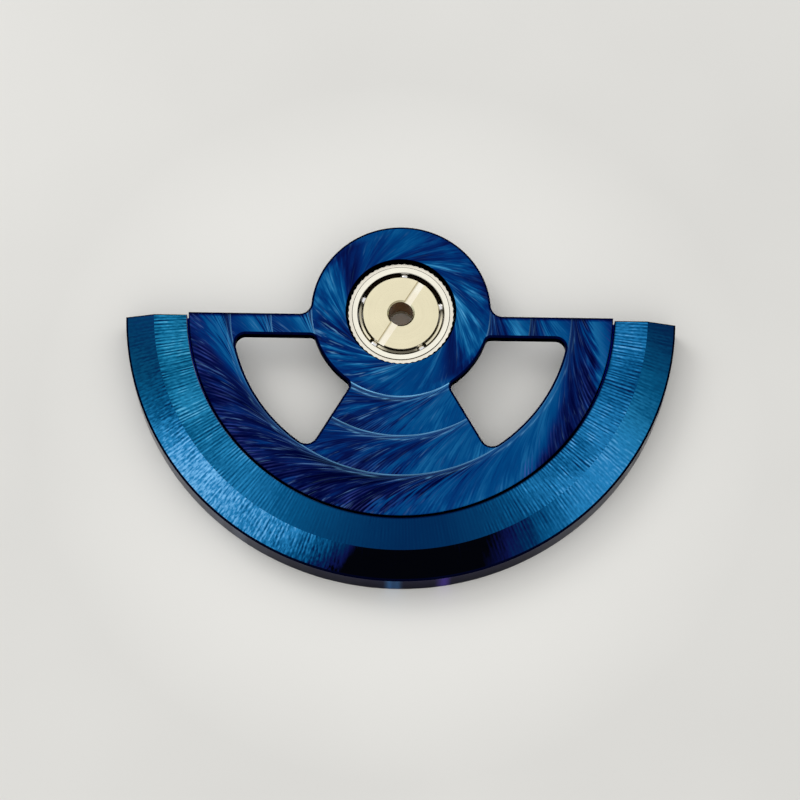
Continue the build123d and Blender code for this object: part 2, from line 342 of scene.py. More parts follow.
class NodeBoard:
    """Sets nodes on a tree in rows and joins them."""

    def __init__(self, tree):
        self.tree = tree
        self.count = 0

    def node(self, kind, inputs=None, **settings):
        """A new node, with its settings and with what goes into its sockets."""
        new = self.tree.nodes.new(kind)
        new.location = (190 * (self.count % 10), -260 * (self.count // 10))
        self.count += 1
        for name, value in settings.items():
            setattr(new, name, value)
        for name, value in (inputs or {}).items():
            if isinstance(value, Term):
                self.tree.links.new(value.socket, new.inputs[name])
            else:
                new.inputs[name].default_value = value
        return new

    def add(self, kind, inputs=None, output=0, **settings):
        """One output of a new node."""
        return Term(self, self.node(kind, inputs, **settings).outputs[output])

    def terms(self, node):
        """All outputs of a node by their names."""
        return {socket.name: Term(self, socket) for socket in node.outputs}

    def math(self, operation, *values):
        """A sum on one to three values."""
        return self.add("ShaderNodeMath", dict(enumerate(values)), operation=operation)

    def blend(self, share, first, second):
        """A mix of two numbers."""
        return self.add("ShaderNodeMix", {0: share, 2: first, 3: second}, data_type="FLOAT")

    def blend_colours(self, share, first, second, way="MIX"):
        """A mix of two colours."""
        return self.add("ShaderNodeMix", {0: share, 6: first, 7: second}, 2, data_type="RGBA", blend_type=way)

    def vector(self, x, y, z):
        """A vector from three values."""
        return self.add("ShaderNodeCombineXYZ", {"X": x, "Y": y, "Z": z})

    def noise(self, vector, scale=1.0, detail=2.0, roughness=0.55):
        """Soft noise from a vector."""
        values = {"Vector": vector, "Scale": scale, "Detail": detail, "Roughness": roughness}
        return self.add("ShaderNodeTexNoise", values, "Fac")

    def group(self, fill, **values):
        """The outputs of a shared shader group, with this material's own values."""
        tree = bpy.data.node_groups.get(titled(fill.__name__)) or shader_group(fill)
        inputs = {titled(name): value for name, value in values.items()}
        return self.terms(self.node("ShaderNodeGroup", inputs, node_tree=tree))


def titled(name):
    """The title that a name in this script has in Blender."""
    return name.replace("_", " ").title()


def shader_group(fill):
    """A shader group whose inputs are the keywords of the function that fills it, and its outputs what that gives."""
    tree = bpy.data.node_groups.new(titled(fill.__name__), "ShaderNodeTree")
    defaults = fill.__kwdefaults__ or {}
    for name, value in defaults.items():
        socket = tree.interface.new_socket(titled(name), in_out="INPUT", socket_type="NodeSocketFloat")
        socket.default_value = value
    board = NodeBoard(tree)
    into = board.terms(board.node("NodeGroupInput"))
    outputs = fill(board, **{name: into[titled(name)] for name in defaults})
    for name in outputs:
        tree.interface.new_socket(name, in_out="OUTPUT", socket_type="NodeSocketFloat")
    board.node("NodeGroupOutput", outputs)
    return tree


def polar(board, place):
    """Where a place lies about the bearing's axis."""
    parts = board.terms(board.node("ShaderNodeSeparateXYZ", {0: place}))
    x, y = parts["X"], parts["Y"]
    return {
        "Radius": (x * x + y * y).run("SQRT"), "Angle": y.run("ARCTAN2", x),
        "Across": x, "Along": y, "Height": parts["Z"],
    }


def polar_place(board):
    """Radius, angle, flat place and height of a point about the axis, in millimetres."""
    place = board.add("ShaderNodeTexCoord", output="Object")
    return polar(board, board.add("ShaderNodeVectorMath", {0: place, "Scale": 1 / MM}, operation="SCALE"))


def fan_strokes(board, *, first_radius=2.34, stripe_width=2.0, sweep=1.42, sheen_sweep=2.6, strokes=288.0):
    """Circular stripes: strokes that start along each stripe's inner edge and fan outwards from it."""
    place = board.group(polar_place)
    radius, angle = place["Radius"], place["Angle"]
    last_stripe = 3.0
    steps = (radius - first_radius) / stripe_width
    stripe = steps.run("FLOOR").run("MINIMUM", last_stripe)
    share = steps - stripe
    soft = share + 0.02
    middle = stripe_width * (stripe + 0.6) + first_radius
    course = angle + sweep / middle * soft.run("LOGARITHM", math.e) + stripe * 1.7
    sheen = sheen_sweep * radius.spread(4.0, 4.6, 0.55, 1.0) / middle
    heading = angle - (sheen * radius / (stripe_width * soft)).run("ARCTANGENT")
    pitch = strokes / math.tau * stripe.spread(0.0, last_stripe, 0.28, 0.95)
    cosine, sine = course.run("COSINE") * pitch, course.run("SINE") * pitch

    def drawn(scale, drift, detail=2.0, roughness=0.55):
        """Noise drawn out along the strokes."""
        return board.noise(board.vector(cosine * scale, sine * scale, radius * drift), 1.0, detail, roughness)

    weave = drawn(0.5, 0.3, 1.0)
    even = (weave * 3.0 + course * strokes).run("COSINE") * 0.5 + 0.5
    patches = drawn(0.22, 0.9, 1.0).spread(0.38, 0.6)
    threads = share.spread(0.3, 0.75) * stripe.spread(0.0, last_stripe, 0.25, 1.0) * patches
    lines = board.blend(threads, drawn(1.6, 0.7, 3.0, 0.7).spread(0.36, 0.64), even)
    streaks = drawn(0.6, 0.6, 3.0, 0.7).spread(0.38, 0.62)
    jagged = (lines * 0.12 + streaks * 0.26 - 0.19) * angle.spread(-1.4, -0.7, 1.0, 0.35)
    # The step between stripes shapes the relief; with a soft glow beside it and a thin arc it also gives the Cut, the
    # mask of a painted highlight along each step.
    step = 1.0 - share.spread(0.0, 0.045)
    glow = share.spread(0.0, 0.2, 0.1, 0.0)
    twin = (1.0 - (share - weave * 0.1 - 0.065).run("ABSOLUTE") * 36.0) * patches
    return {
        "Direction": ((heading + jagged) / math.pi + 2.0).run("FRACT"),
        "Lines": lines,
        "Streaks": streaks,
        "Threads": threads * even.run("POWER", 3.0),
        "Flecks": drawn(1.7, 1.3).spread(0.58, 0.76),
        "Clouds": drawn(0.15, 0.7, 1.0).spread(0.38, 0.62),
        "Share": share,
        "Cut": step.run("MAXIMUM", glow.run("MAXIMUM", twin * 0.55)),
        "Height": lines * 0.5 - step * 0.6,
    }


def radial_brushing(board, *, lines=430.0, wander=0.35, shift=0.0, evenness=0.6):
    """Straight brushing lines that run out from the axis."""
    place = board.group(polar_place)
    radius = place["Radius"]
    course = place["Angle"] + shift
    pitch = lines / math.tau
    cosine, sine = course.run("COSINE") * pitch, course.run("SINE") * pitch
    drift = radius * wander

    def drawn(scale, reach, detail=2.0, roughness=0.55):
        """Noise drawn out along the lines."""
        return board.noise(board.vector(cosine * scale, sine * scale, reach), 1.0, detail, roughness)

    weave = drawn(0.4, drift * 0.4, 1.0) * 8.0
    wave = (course * lines + weave).run("COSINE") * 0.5 + 0.5
    return {
        "Lines": board.blend(evenness, drawn(1.9, drift, 2.0, 0.6).spread(0.36, 0.64), wave),
        "Streaks": drawn(0.4, drift).spread(0.36, 0.64),
        "Clouds": drawn(0.06, drift, 1.0).spread(0.38, 0.62),
        "Patches": drawn(0.16, radius * 1.3).spread(0.38, 0.6),
        "Grain": drawn(2.2, radius * 4.6, 1.0).spread(0.34, 0.66),
    }


def turned_lines(board, *, lines_per_mm=18.0, drift=0.8):
    """Fine lathe lines around the axis, with a soft drift of tone."""
    place = board.group(polar_place)
    x, y = (place["Angle"].run(side) * 0.7 for side in ("COSINE", "SINE"))
    course = (place["Radius"] + place["Height"]) * lines_per_mm
    spot = board.add("ShaderNodeTexCoord", output="Object")
    return {
        "Lines": board.noise(board.vector(x, y, course)).spread(0.34, 0.66),
        "Drift": board.noise(spot, drift / MM, 3.0).spread(0.36, 0.64),
    }


def new_material(name):
    """An empty material and its board."""
    made = bpy.data.materials.new(name)
    made.use_nodes = True
    made.node_tree.nodes.clear()
    return made, NodeBoard(made.node_tree)


def metal(made, board, colour, roughness, relief=None, depth=0.001, strength=0.5, sheen=(1.0, 1.0, 1.0)):
    """Ends a metal's material: sheen is its tone at a grazing angle, and depth that of its relief in mm."""
    inputs = {"Base Color": colour, "Roughness": roughness, "Metallic": 1.0, "Specular Tint": (*sheen, 1.0)}
    if relief:
        bump = {"Strength": strength, "Distance": depth * MM, "Height": relief}
        inputs["Normal"] = board.add("ShaderNodeBump", bump)
    board.node("ShaderNodeOutputMaterial", {"Surface": board.add("ShaderNodeBsdfPrincipled", inputs)})
    return made


def mass_colour(board, value, greenness, colours):
    """The blued mass's colour, from its darkest to its palest, picked by a painted sheen level, with less blue in it by
    a share.
    """
    shown = value.ramp([
        (0.0, colours.blue_black), (0.03, colours.blue_black), (0.10, paint(12, 20, 72)), (0.21, colours.mass_navy),
        (0.42, colours.mass_teal), (0.66, colours.mass_azure), (1.0, colours.mass_pale),
    ])
    return board.blend_colours(greenness, shown, (0.9, 1.0, 0.8, 1.0), "MULTIPLY")


def band_finish(colours, sizes):
    """Flat band of the mass: radial brushing, with a painted sheen in its colour that changes around the rim and
    painted shade beside the groove.
    """
    made, board = new_material("brushed_band")
    place = board.group(polar_place)
    lines = board.group(radial_brushing, lines=float(sizes.groove_count), evenness=0.62)
    radius, angle = place["Radius"], place["Angle"]
    # Painted sheen: the band's tone and the contrast of its lines follow the angle around the rim, as they catch the
    # light.
    level = angle.around([
        (-180, 0.38), (-173, 0.44), (-162, 0.50), (-150, 0.52), (-138, 0.52), (-128, 0.49), (-120, 0.43),
        (-114, 0.38), (-106, 0.29), (-98, 0.23), (-88, 0.21), (-78, 0.22), (-68, 0.28), (-61, 0.37),
        (-52, 0.50), (-42, 0.54), (-32, 0.49), (-22, 0.43), (-14, 0.40), (-9, 0.47), (-4, 0.48), (0, 0.42),
    ])
    depth = angle.around([
        (-180, 0.46), (-165, 0.42), (-148, 0.40), (-138, 0.36), (-125, 0.20), (-112, 0.08), (-90, 0.02),
        (-72, 0.03), (-61, 0.24), (-45, 0.50), (-30, 0.44), (-15, 0.44), (0, 0.48),
    ])
    fine = (lines["Lines"] - 0.45) * lines["Patches"].to(0.3, 1.4)
    swing = fine + lines["Grain"].to(-0.15, 0.15) + lines["Clouds"].to(-0.15, 0.15)
    border = sizes.radius - sizes.bevel_width
    # Painted shade: the band darkens towards the bevel at its left end.
    ease = angle.around([(-180, 0.16), (-165, 0.16), (-152, 0.10), (-142, 0.0)])
    value = swing * depth + level - ease * radius.spread(border - 0.5, border)
    greenness = angle.around([(-180, 0.8), (-168, 1.0), (-150, 0.7), (-125, 0.15), (-100, 0.0)])
    inner = border - sizes.band_width + sizes.groove_break
    # Painted shade: a dark margin beside the groove, over the middle and the right of the rim.
    dusk = angle.around([(-180, 0.0), (-128, 0.1), (-112, 0.7), (-90, 1.0), (-20, 0.9), (0, 0.7)])
    margin = radius.spread(inner, inner + 0.075, 1.0, 0.0) * dusk
    shown = board.blend_colours(margin, mass_colour(board, value, greenness, colours), colours.edge_ink)
    return metal(made, board, shown, lines["Grain"].to(0.34, 0.46), lines["Lines"] * depth, 0.004)


def bevel_finish(colours, sizes):
    """Bevel of the mass: coarser radial brushing, with a painted reflection in its colour: a black reach and two bright
    reaches.
    """
    made, board = new_material("brushed_bevel")
    place = board.group(polar_place)
    lines = board.group(radial_brushing, lines=float(sizes.groove_count), wander=0.3, shift=0.4, evenness=0.64)
    radius, angle = place["Radius"], place["Angle"]
    # Painted reflection: the bevel's tone by its angle, black where it faces the front and bright in a reach to either
    # side.
    slant = (radius - 12.8) * angle.spread(-1.6, -1.4, 0.065, 0.035)
    level = (angle + (lines["Streaks"] - 0.5) * 0.035 + slant).around([
        (-180, 0.20), (-172, 0.23), (-164, 0.29), (-157, 0.40), (-150, 0.60), (-144, 0.76), (-136, 0.79),
        (-128, 0.70), (-118, 0.63), (-112, 0.50), (-107, 0.30), (-103, 0.10), (-100, 0.02), (-71, 0.02),
        (-66, 0.08), (-60, 0.22), (-55, 0.42), (-48, 0.60), (-38, 0.66), (-29, 0.62), (-22, 0.48), (-12, 0.34),
        (-6, 0.24), (0, 0.18),
    ])
    depth = angle.around([
        (-180, 0.06), (-166, 0.10), (-158, 0.20), (-150, 0.34), (-135, 0.38), (-115, 0.38), (-107, 0.24),
        (-101, 0.02), (-70, 0.02), (-60, 0.16), (-50, 0.28), (-38, 0.30), (-26, 0.26), (-16, 0.18), (0, 0.08),
    ])
    reach = radius.spread(13.1, 12.2, 0.55, 1.0) * lines["Patches"].to(0.3, 1.5)
    fine = (lines["Lines"] - 0.5) * reach * angle.spread(-1.9, -1.2, 0.95, 1.0)
    grain = (lines["Grain"] - 0.5) * angle.spread(-1.9, -1.2, 0.75, 0.4)
    greenness = angle.around([
        (-180, 1.0), (-166, 0.9), (-155, 0.3), (-146, 0.0), (-36, 0.0), (-24, 0.5), (0, 0.5),
    ])
    shown = mass_colour(board, (fine + grain) * depth + level, greenness, colours)
    return metal(made, board, shown, lines["Grain"].to(0.30, 0.44), lines["Lines"], 0.003)


def plate_finish(colours, sizes):
    """Decorated face of the plate: circular stripes whose tone is a sheen painted by the strokes' direction, with
    painted glints, highlights and shade.
    """
    made, board = new_material("circular_stripes")
    place = board.group(polar_place)
    strokes = board.group(
        fan_strokes, first_radius=sizes.stripe_first, stripe_width=sizes.stripe_width, sweep=sizes.stripe_sweep,
        strokes=float(sizes.stroke_count),
    )
    radius, angle = place["Radius"], place["Angle"]
    heading, lines, streaks, clouds = (strokes[name] for name in ("Direction", "Lines", "Streaks", "Clouds"))
    # Painted sheen: the stripes' tone at the rim and at the hub by the strokes' direction, and how strongly their
    # strokes and fine lines show.
    rim = heading.ramp([
        (0, 0.09), (9, 0.11), (24, 0.09), (29, 0.22), (35, 0.30), (44, 0.31), (51, 0.37), (62, 0.36), (69, 0.40),
        (73, 0.31), (78, 0.12), (85, 0.08), (100, 0.08), (104, 0.20), (109, 0.46), (114, 0.41), (119, 0.25),
        (124, 0.17), (129, 0.10), (150, 0.11), (159, 0.08), (166, 0.12), (172, 0.07), (180, 0.09),
    ], 0, 180)
    hub = heading.ramp([
        (0, 0.28), (9, 0.27), (16, 0.33), (30, 0.34), (39, 0.38), (48, 0.33), (60, 0.31), (69, 0.34), (75, 0.24),
        (81, 0.16), (90, 0.16), (95, 0.22), (99, 0.34), (105, 0.48), (112, 0.49), (129, 0.40), (135, 0.25),
        (142, 0.25), (152, 0.29), (165, 0.26), (172, 0.34), (180, 0.28),
    ], 0, 180)
    loud = heading.ramp([
        (0, 1.0), (20, 0.8), (32, 0.35), (60, 0.35), (72, 0.6), (92, 0.5), (104, 0.5), (125, 0.9), (160, 1.0),
    ], 0, 180)
    thread_sheen = heading.ramp([
        (0, 0.4), (12, 0.3), (19, 1.0), (27, 0.9), (34, 0.1), (64, 0.1), (70, 0.8), (78, 1.0), (82, 0.1), (96, 0.2),
        (100, 0.5), (106, 0.1), (116, 0.3), (124, 0.7), (180, 0.6),
    ], 0, 180)
    # Painted light and shade by the angle around the plate: the sheen's level on each side, a darker reach on the lower
    # left, and where the steps' highlights show.
    side = angle.around([
        (-180, 1.0), (-168, 0.6), (-142, 0.66), (-118, 0.92), (-90, 1.0), (60, 0.95), (98, 0.86), (118, 0.68),
        (145, 0.72), (162, 1.0), (180, 1.0),
    ], 180.0)
    foot = angle.around([(-180, 1.0), (-121, 1.0), (-114, 0.74), (-97, 0.72), (-91, 1.0), (0, 1.0)])
    reach = angle.around([
        (-180, 0.35), (-166, 0.6), (-152, 1.0), (-90, 1.0), (-62, 0.95), (-30, 0.7), (-14, 0.35), (0, 0.15),
    ])
    last_radius = 11.0
    spot = radius / last_radius
    inwards = spot.ramp([(0.36, 1.0), (0.41, 0.45), (0.74, 0.45), (0.78, 0.0)])
    level = board.blend(inwards, rim, hub) * board.blend(radius.spread(4.2, 4.5), side, 1.0)
    level = level * board.blend(inwards, foot, 1.0)
    depth = board.blend(inwards, level.spread(0.14, 0.32, 1.0, 0.22), loud)
    swing = (lines - 0.5) * 0.7 + streaks.to(-0.75, 0.75) + clouds.to(-0.45, 0.45)
    # Painted shade: darker towards the arms' straight edge.
    shade = place["Along"].spread(-0.42, -0.3, 0.0, 0.7) * place["Across"].run("ABSOLUTE").spread(4.5, 4.9)
    value = level * board.math("POWER", 2.0, swing * depth) * (1.0 - shade)
    shown = value.ramp([
        (0.0, paint(0, 1, 20)), (0.05, colours.plate_ink), (0.11, colours.plate_navy), (0.20, paint(3, 41, 104)),
        (0.35, colours.plate_blue), (0.62, colours.plate_azure), (1.0, colours.plate_pale),
    ])
    # Painted glints: pale flecks, strongest where the painted sheen is strong.
    near = strokes["Share"].spread(0.05, 0.4, 1.7, 0.8) * clouds.spread(0.1, 0.8, 0.3, 1.25)
    flecks = strokes["Flecks"] * near * depth * angle.spread(-1.6, -0.6, 0.45, 0.2)
    shown = board.blend_colours(flecks, shown, board.blend_colours(inwards, colours.fleck_blue, colours.plate_pale))
    # Painted highlights on the fine stroke lines, by the strokes' direction.
    threads = strokes["Threads"] * streaks.spread(0.2, 0.8, 0.25, 1.0) * thread_sheen * 0.36
    thread = board.blend_colours(radius.spread(7.6, 8.5), colours.thread_blue, colours.thread_violet)
    shown = board.blend_colours(threads, shown, thread)
    # Painted highlights along each stripe's step, shown more at some angles.
    step_glint = lines.to(0.6, 1.0) * streaks.to(0.2, 1.0)
    step_glint = step_glint * spot.ramp([(0.38, 1.0), (0.48, 0.9), (0.56, 0.62), (0.72, 0.6), (0.76, 0.52)])
    shown = board.blend_colours(strokes["Cut"] * step_glint * reach * 1.7, shown, colours.plate_pale)
    return metal(made, board, shown, lines.to(0.32, 0.46), strokes["Height"], 0.004, 0.6)


def turned_finish(name, dark, light, low, high, lines_per_mm=18.0, depth=0.0012, sheen=1.0):
    """Turned metal between two tones, with fine lathe lines and a soft drift."""
    made, board = new_material(name)
    lines = board.group(turned_lines, lines_per_mm=lines_per_mm)
    shown = board.blend_colours(lines["Lines"] * 0.55 + lines["Drift"] * 0.45, dark, light)
    return metal(made, board, shown, lines["Drift"].to(low, high), lines["Lines"], depth, sheen=[sheen] * 3)


def around_finish(name, dark, light, stops, low, high, sheen=1.0, bright_from=None):
    """Turned metal with painted light and shade: its tone changes around the axis by degrees, and painted shade makes
    it darker inside a radius.
    """
    made, board = new_material(name)
    place = board.group(polar_place)
    lines = board.group(turned_lines, drift=1.5)
    value = place["Angle"].around(stops, 180.0) * lines["Lines"].to(0.85, 1.0)
    if bright_from:
        value = value * place["Radius"].spread(bright_from - SOFT_EDGE, bright_from + SOFT_EDGE, 0.8, 1.0)
    shown = board.blend_colours(value, dark, light)
    return metal(made, board, shown, lines["Drift"].to(low, high), lines["Lines"], sheen=[sheen] * 3)


def wall_finish(colours):
    """Polished outer wall: dark violet grey, with painted shade at its foot, a painted highlight near its top and
    painted reflections, among them two coloured glints.
    """
    made, board = new_material("polished_wall")
    place = board.group(polar_place)
    streaks = board.group(radial_brushing, lines=260.0, wander=0.0)["Streaks"]
    highest = 2.0
    # Painted shade at the wall's foot, and a painted highlight as a lighter line near its top.
    upright = (place["Height"] / highest).ramp([(height, scaled(colours.wall_violet, share)) for height, share in (
        (0.0, 0.3), (0.16, 0.2), (0.42, 0.7), (0.56, 1.1), (0.66, 1.2), (0.71, 2.2), (0.74, 1.2),
    )])
    # Painted reflections: pale grey towards the left and on the lower right, and a blue and a violet glint near the
    # front.
    grey, blue, violet = paint(142, 148, 160), paint(88, 152, 216), paint(108, 84, 204)
    glints = place["Angle"].around([
        (-180, grey), (-95, grey), (-92.2, blue), (-89.2, blue), (-87, grey), (-82, violet), (-79, violet),
        (-76, grey), (0, grey),
    ])
    reflection_share = place["Angle"].around([
        (-180, 0.6), (-158, 0.8), (-124, 0.85), (-117, 0.3), (-108, 0.12), (-96, 0.03), (-92.4, 0.03),
        (-91.5, 1.0), (-90.0, 1.0), (-88.9, 0.03), (-82.2, 0.03), (-81.2, 0.8), (-80.0, 0.8), (-78.8, 0.03),
        (-62, 0.03), (-56, 0.3), (-44, 0.45), (-38, 0.1), (-30, 0.02), (0, 0.02),
    ])
    shown = board.blend_colours(reflection_share * streaks.to(0.5, 1.1), upright, glints)
    return metal(made, board, shown, streaks.to(0.1, 0.22), sheen=(0.40, 0.40, 0.43))


def groove_finish(colours):
    """Broken edge beside the groove: a painted highlight towards the left end, and painted shade elsewhere."""
    made, board = new_material("groove_lip")
    drift = board.group(turned_lines, drift=2.0)["Drift"]
    level = board.group(polar_place)["Angle"].around([
        (-180, 0.2), (-160, 0.5), (-140, 0.4), (-120, 0.14), (-104, 0.02), (0, 0.0),
    ])
    shown = board.blend_colours(level * drift.to(0.6, 1.3), colours.edge_ink, paint(166, 178, 222))
    return metal(made, board, shown, drift.to(0.3, 0.42))


def slot_finish(colours, sizes):
    """Floor of the screwdriver slot: bright, with painted shade along the wall on its upper left."""
    made, board = new_material("slot_floor")
    place = board.group(polar_place)
    lines = board.group(turned_lines, lines_per_mm=22.0)
    half = sizes.slot_width / 2
    side = place["Along"] * math.cos(sizes.slot_turn) - place["Across"] * math.sin(sizes.slot_turn)
    bright = board.blend_colours(lines["Drift"], paint(252, 243, 220), paint(255, 250, 232))
    shade = side.spread(half - 0.11, half - 0.02)
    shown = board.blend_colours(shade, bright, scaled(colours.cap_nickel, 0.72))
    return metal(made, board, shown, lines["Drift"].to(0.2, 0.3), lines["Lines"])


# Meshes, drawn in millimetres

def signed_volume(points, faces):
    """Volume of a closed shell, negative where its faces point inwards."""
    total = 0.0
    for face in faces:
        first = points[face[0]]
        for second, third in zip(face[1:], face[2:]):
            total += first.dot(points[second].cross(points[third]))
    return total / 6


def shell(name, points, faces, zones):
    """A closed mesh with zones on its faces."""
    points = [Vector(point) for point in points]
    if signed_volume(points, faces) < 0:
        faces = [tuple(reversed(face)) for face in faces]
    mesh = bpy.data.meshes.new(name)
    mesh.from_pydata(points, [], faces)
    mesh.attributes.new("zone", "INT", "FACE").data.foreach_set("value", zones)
    mesh.polygons.foreach_set("material_index", zones)
    return smooth(mesh)


def smooth(mesh, limit=SMOOTH_LIMIT):
    """Shades a mesh smooth, but for the edges that turn by more than the limit."""
    edit = bmesh.new()
    edit.from_mesh(mesh)
    for face in edit.faces:
        face.smooth = True
    for edge in edit.edges:
        edge.smooth = len(edge.link_faces) == 2 and edge.calc_face_angle(0.0) < math.radians(limit)
    edit.to_mesh(mesh)
    edit.free()
    return mesh


def arc(centre, radius, first, last, steps):
    """Points of an arc around a centre, both ends included."""
    angles = (first + (last - first) * step / steps for step in range(steps + 1))
    return [(centre[0] + radius * math.cos(angle), centre[1] + radius * math.sin(angle)) for angle in angles]


def even_angles(count):
    """Angles of a full turn at even steps."""
    return [math.tau * step / count for step in range(count)]


def turned(name, section, angles=even_angles(TURNED_STEPS)):
    """Turns a closed section of radius, height and zone right round the axis."""
    rows, columns = len(section), len(angles)
    points = [(r * math.cos(a), r * math.sin(a), z) for a in angles for r, z, _ in section]
    faces, zones = [], []
    for column in range(columns):
        start, beside = column * rows, (column + 1) % columns * rows
        for row, (_, _, zone) in enumerate(section):
            above = (row + 1) % rows
            faces.append((start + row, start + above, beside + above, beside + row))
            zones.append(zone)
    return shell(name, points, faces, zones)


def race_reach(sizes):
    """Radius of a race's curve: that of a ball and its play."""
    return sizes.ball_diameter / 2 + sizes.ball_play


def race_opening(sizes, edge):
    """Angle from the outward direction at which a race meets its edge's radius."""
    return math.acos((edge - sizes.ball_circle) / race_reach(sizes))


def race(sizes, first, last, zone):
    """Points of a race's section, between two angles from the outward direction."""
    centre = (sizes.ball_circle, sizes.ball_level)
    return [(r, z, zone) for r, z in arc(centre, race_reach(sizes), first, last, RACE_STEPS)]


def ball_angle(sizes, ball):
    """Angle of a ball's place on the bearing's circle."""
    return sizes.ball_turn + math.tau * ball / BALL_PLACES


def finished(name, mesh, materials, body, node):
    """Puts a piece's mesh in the scene at its true size, on its body and in place of its CAD node."""
    mesh.transform(Matrix.Scale(MM, 4))
    piece = bpy.data.objects.new(name, mesh)
    bpy.context.scene.collection.objects.link(piece)
    if materials:
        zones = [polygon.material_index for polygon in mesh.polygons]
        mesh.materials.clear()
        for material in materials:
            mesh.materials.append(material)
        mesh.polygons.foreach_set("material_index", zones)
    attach(piece, body)
    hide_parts(node)
    return {"FINISHED"}


def evaluated_copy(mesh, name, prepare):
    """The plain mesh that a temporary object with the prepared modifiers gives."""
    holder = bpy.data.objects.new(name, mesh)
    bpy.context.scene.collection.objects.link(holder)
    spare = prepare(holder)
    bpy.context.view_layer.update()
    depsgraph = bpy.context.evaluated_depsgraph_get()
    result = bpy.data.meshes.new_from_object(holder.evaluated_get(depsgraph))
    holder.modifiers.clear()
    for thing in [holder, *spare]:
        old = thing.data
        bpy.data.objects.remove(thing)
        bpy.data.meshes.remove(old)
    if not result.polygons:
        raise RuntimeError(f"{name}: nothing is left of the mesh")
    result.name = name
    return result


def pierced(mesh, name, cutters):
    """Cuts closed meshes out of another one."""
    def prepare(holder):
        """Adds one Boolean for each cutter."""
        spare = []
        for cutter in cutters:
            tool = bpy.data.objects.new(f"{name}_cutter", cutter)
            bpy.context.scene.collection.objects.link(tool)
            modifier = holder.modifiers.new("Cut", "BOOLEAN")
            modifier.operation = "DIFFERENCE"
            modifier.solver = "EXACT"
            modifier.object = tool
            spare.append(tool)
        return spare
    return evaluated_copy(mesh, name, prepare)


# Geometry trees

def formed(mesh, name, build, values, materials):
    """Runs a mesh through the tree that a function builds, with its inputs set by their identifiers."""
    title = f"{titled(build.__name__)} {len(materials)}"
    zones = {f"Zone {count} Material": material for count, material in enumerate(materials)}
    tree = bpy.data.node_groups.get(title) or geometry_tree(title, build, values, zones)

    def prepare(holder):
        """Adds the tree and its values."""
        modifier = holder.modifiers.new(title, "NODES")
        modifier.node_group = tree
        keys = {item.name: item.identifier for item in tree.interface.items_tree if item.in_out == "INPUT"}
        for label, value in {**values, **zones}.items():
            modifier[keys[label]] = value
        return []
    return evaluated_copy(mesh, name, prepare)


def geometry_tree(title, build, values, zones):
    """A tree with named inputs that makes real what is built and sets a material on each zone."""
    tree = bpy.data.node_groups.new(title, "GeometryNodeTree")
    kinds = {label: "Int" if isinstance(value, int) else "Float" for label, value in values.items()}
    kinds = {"Geometry": "Geometry", **kinds, **dict.fromkeys(zones, "Material")}
    for label, kind in kinds.items():
        tree.interface.new_socket(label, in_out="INPUT", socket_type=f"NodeSocket{kind}")
    tree.interface.new_socket("Geometry", in_out="OUTPUT", socket_type="NodeSocketGeometry")
    board = NodeBoard(tree)
    into = board.terms(board.node("NodeGroupInput"))
    last = board.add("GeometryNodeRealizeInstances", {"Geometry": build(board, into)})
    zone = board.add("GeometryNodeInputNamedAttribute", {"Name": "zone"}, data_type="INT")
    for count, label in enumerate(zones):
        here = board.add("FunctionNodeCompare", {2: zone, 3: count}, data_type="INT", operation="EQUAL")
        values = {"Geometry": last, "Selection": here, "Material": into[label]}
        last = board.add("GeometryNodeSetMaterial", values)
    board.node("NodeGroupOutput", {"Geometry": last})
    return tree


def around_axis(board, into):
    """Where each point lies about the axis, and its angle in pitches."""
    place = polar(board, board.add("GeometryNodeInputPosition"))
    return place, place["Angle"] * (into["Count"] / math.tau)


def shifted(board, into, x, y, z):
    """The mesh with its points moved."""
    values = {"Geometry": into["Geometry"], "Offset": board.vector(x, y, z)}
    return board.add("GeometryNodeSetPosition", values)


def brushed_grooves(board, into):
    """Presses uneven radial grooves into the upper surfaces of a turned mesh."""
    place, course = around_axis(board, into)
    groove = course.run("FLOOR")
    across = ((course - groove) * math.pi).run("SINE")
    draw = {2: 0.25, 3: 1.0, "ID": groove, "Seed": into["Seed"]}
    uneven = board.add("FunctionNodeRandomValue", draw, 1, data_type="FLOAT")
    high = place["Height"].run("GREATER_THAN", into["Lowest"])
    far = place["Radius"].run("GREATER_THAN", into["Innermost"])
    return shifted(board, into, 0.0, 0.0, across * uneven * into["Depth"] * high * far * -1.0)


def cut_teeth(board, into):
    """Cuts teeth into the outer wall of a turned blank, between two levels."""
    place, course = around_axis(board, into)
    radius, height = place["Radius"], place["Height"]
    near = (course - course.run("ROUND")).run("ABSOLUTE")
    flank = near.spread(into["Tip Share"], 0.5 - into["Root Share"])
    outside = radius.run("GREATER_THAN", into["Outer Radius"] - into["Depth"] * 0.5)
    between = height.run("GREATER_THAN", into["Lowest"]) * height.run("LESS_THAN", into["Highest"])
    back = flank * outside * between * into["Depth"] / radius * -1.0
    return shifted(board, into, place["Across"] * back, place["Along"] * back, 0.0)


def race_ball(board, into):
    """Sets one ball on the bearing's circle."""
    ball = {"Radius": into["Diameter"] / 2.0, "Subdivisions": 5}
    x, y = (into["Angle"].run(side) * into["Circle Radius"] for side in ("COSINE", "SINE"))
    shift = board.vector(x, y, into["Level"])
    values = {"Geometry": board.add("GeometryNodeMeshIcoSphere", ball), "Translation": shift}
    return board.add("GeometryNodeTransform", values)


# Plate

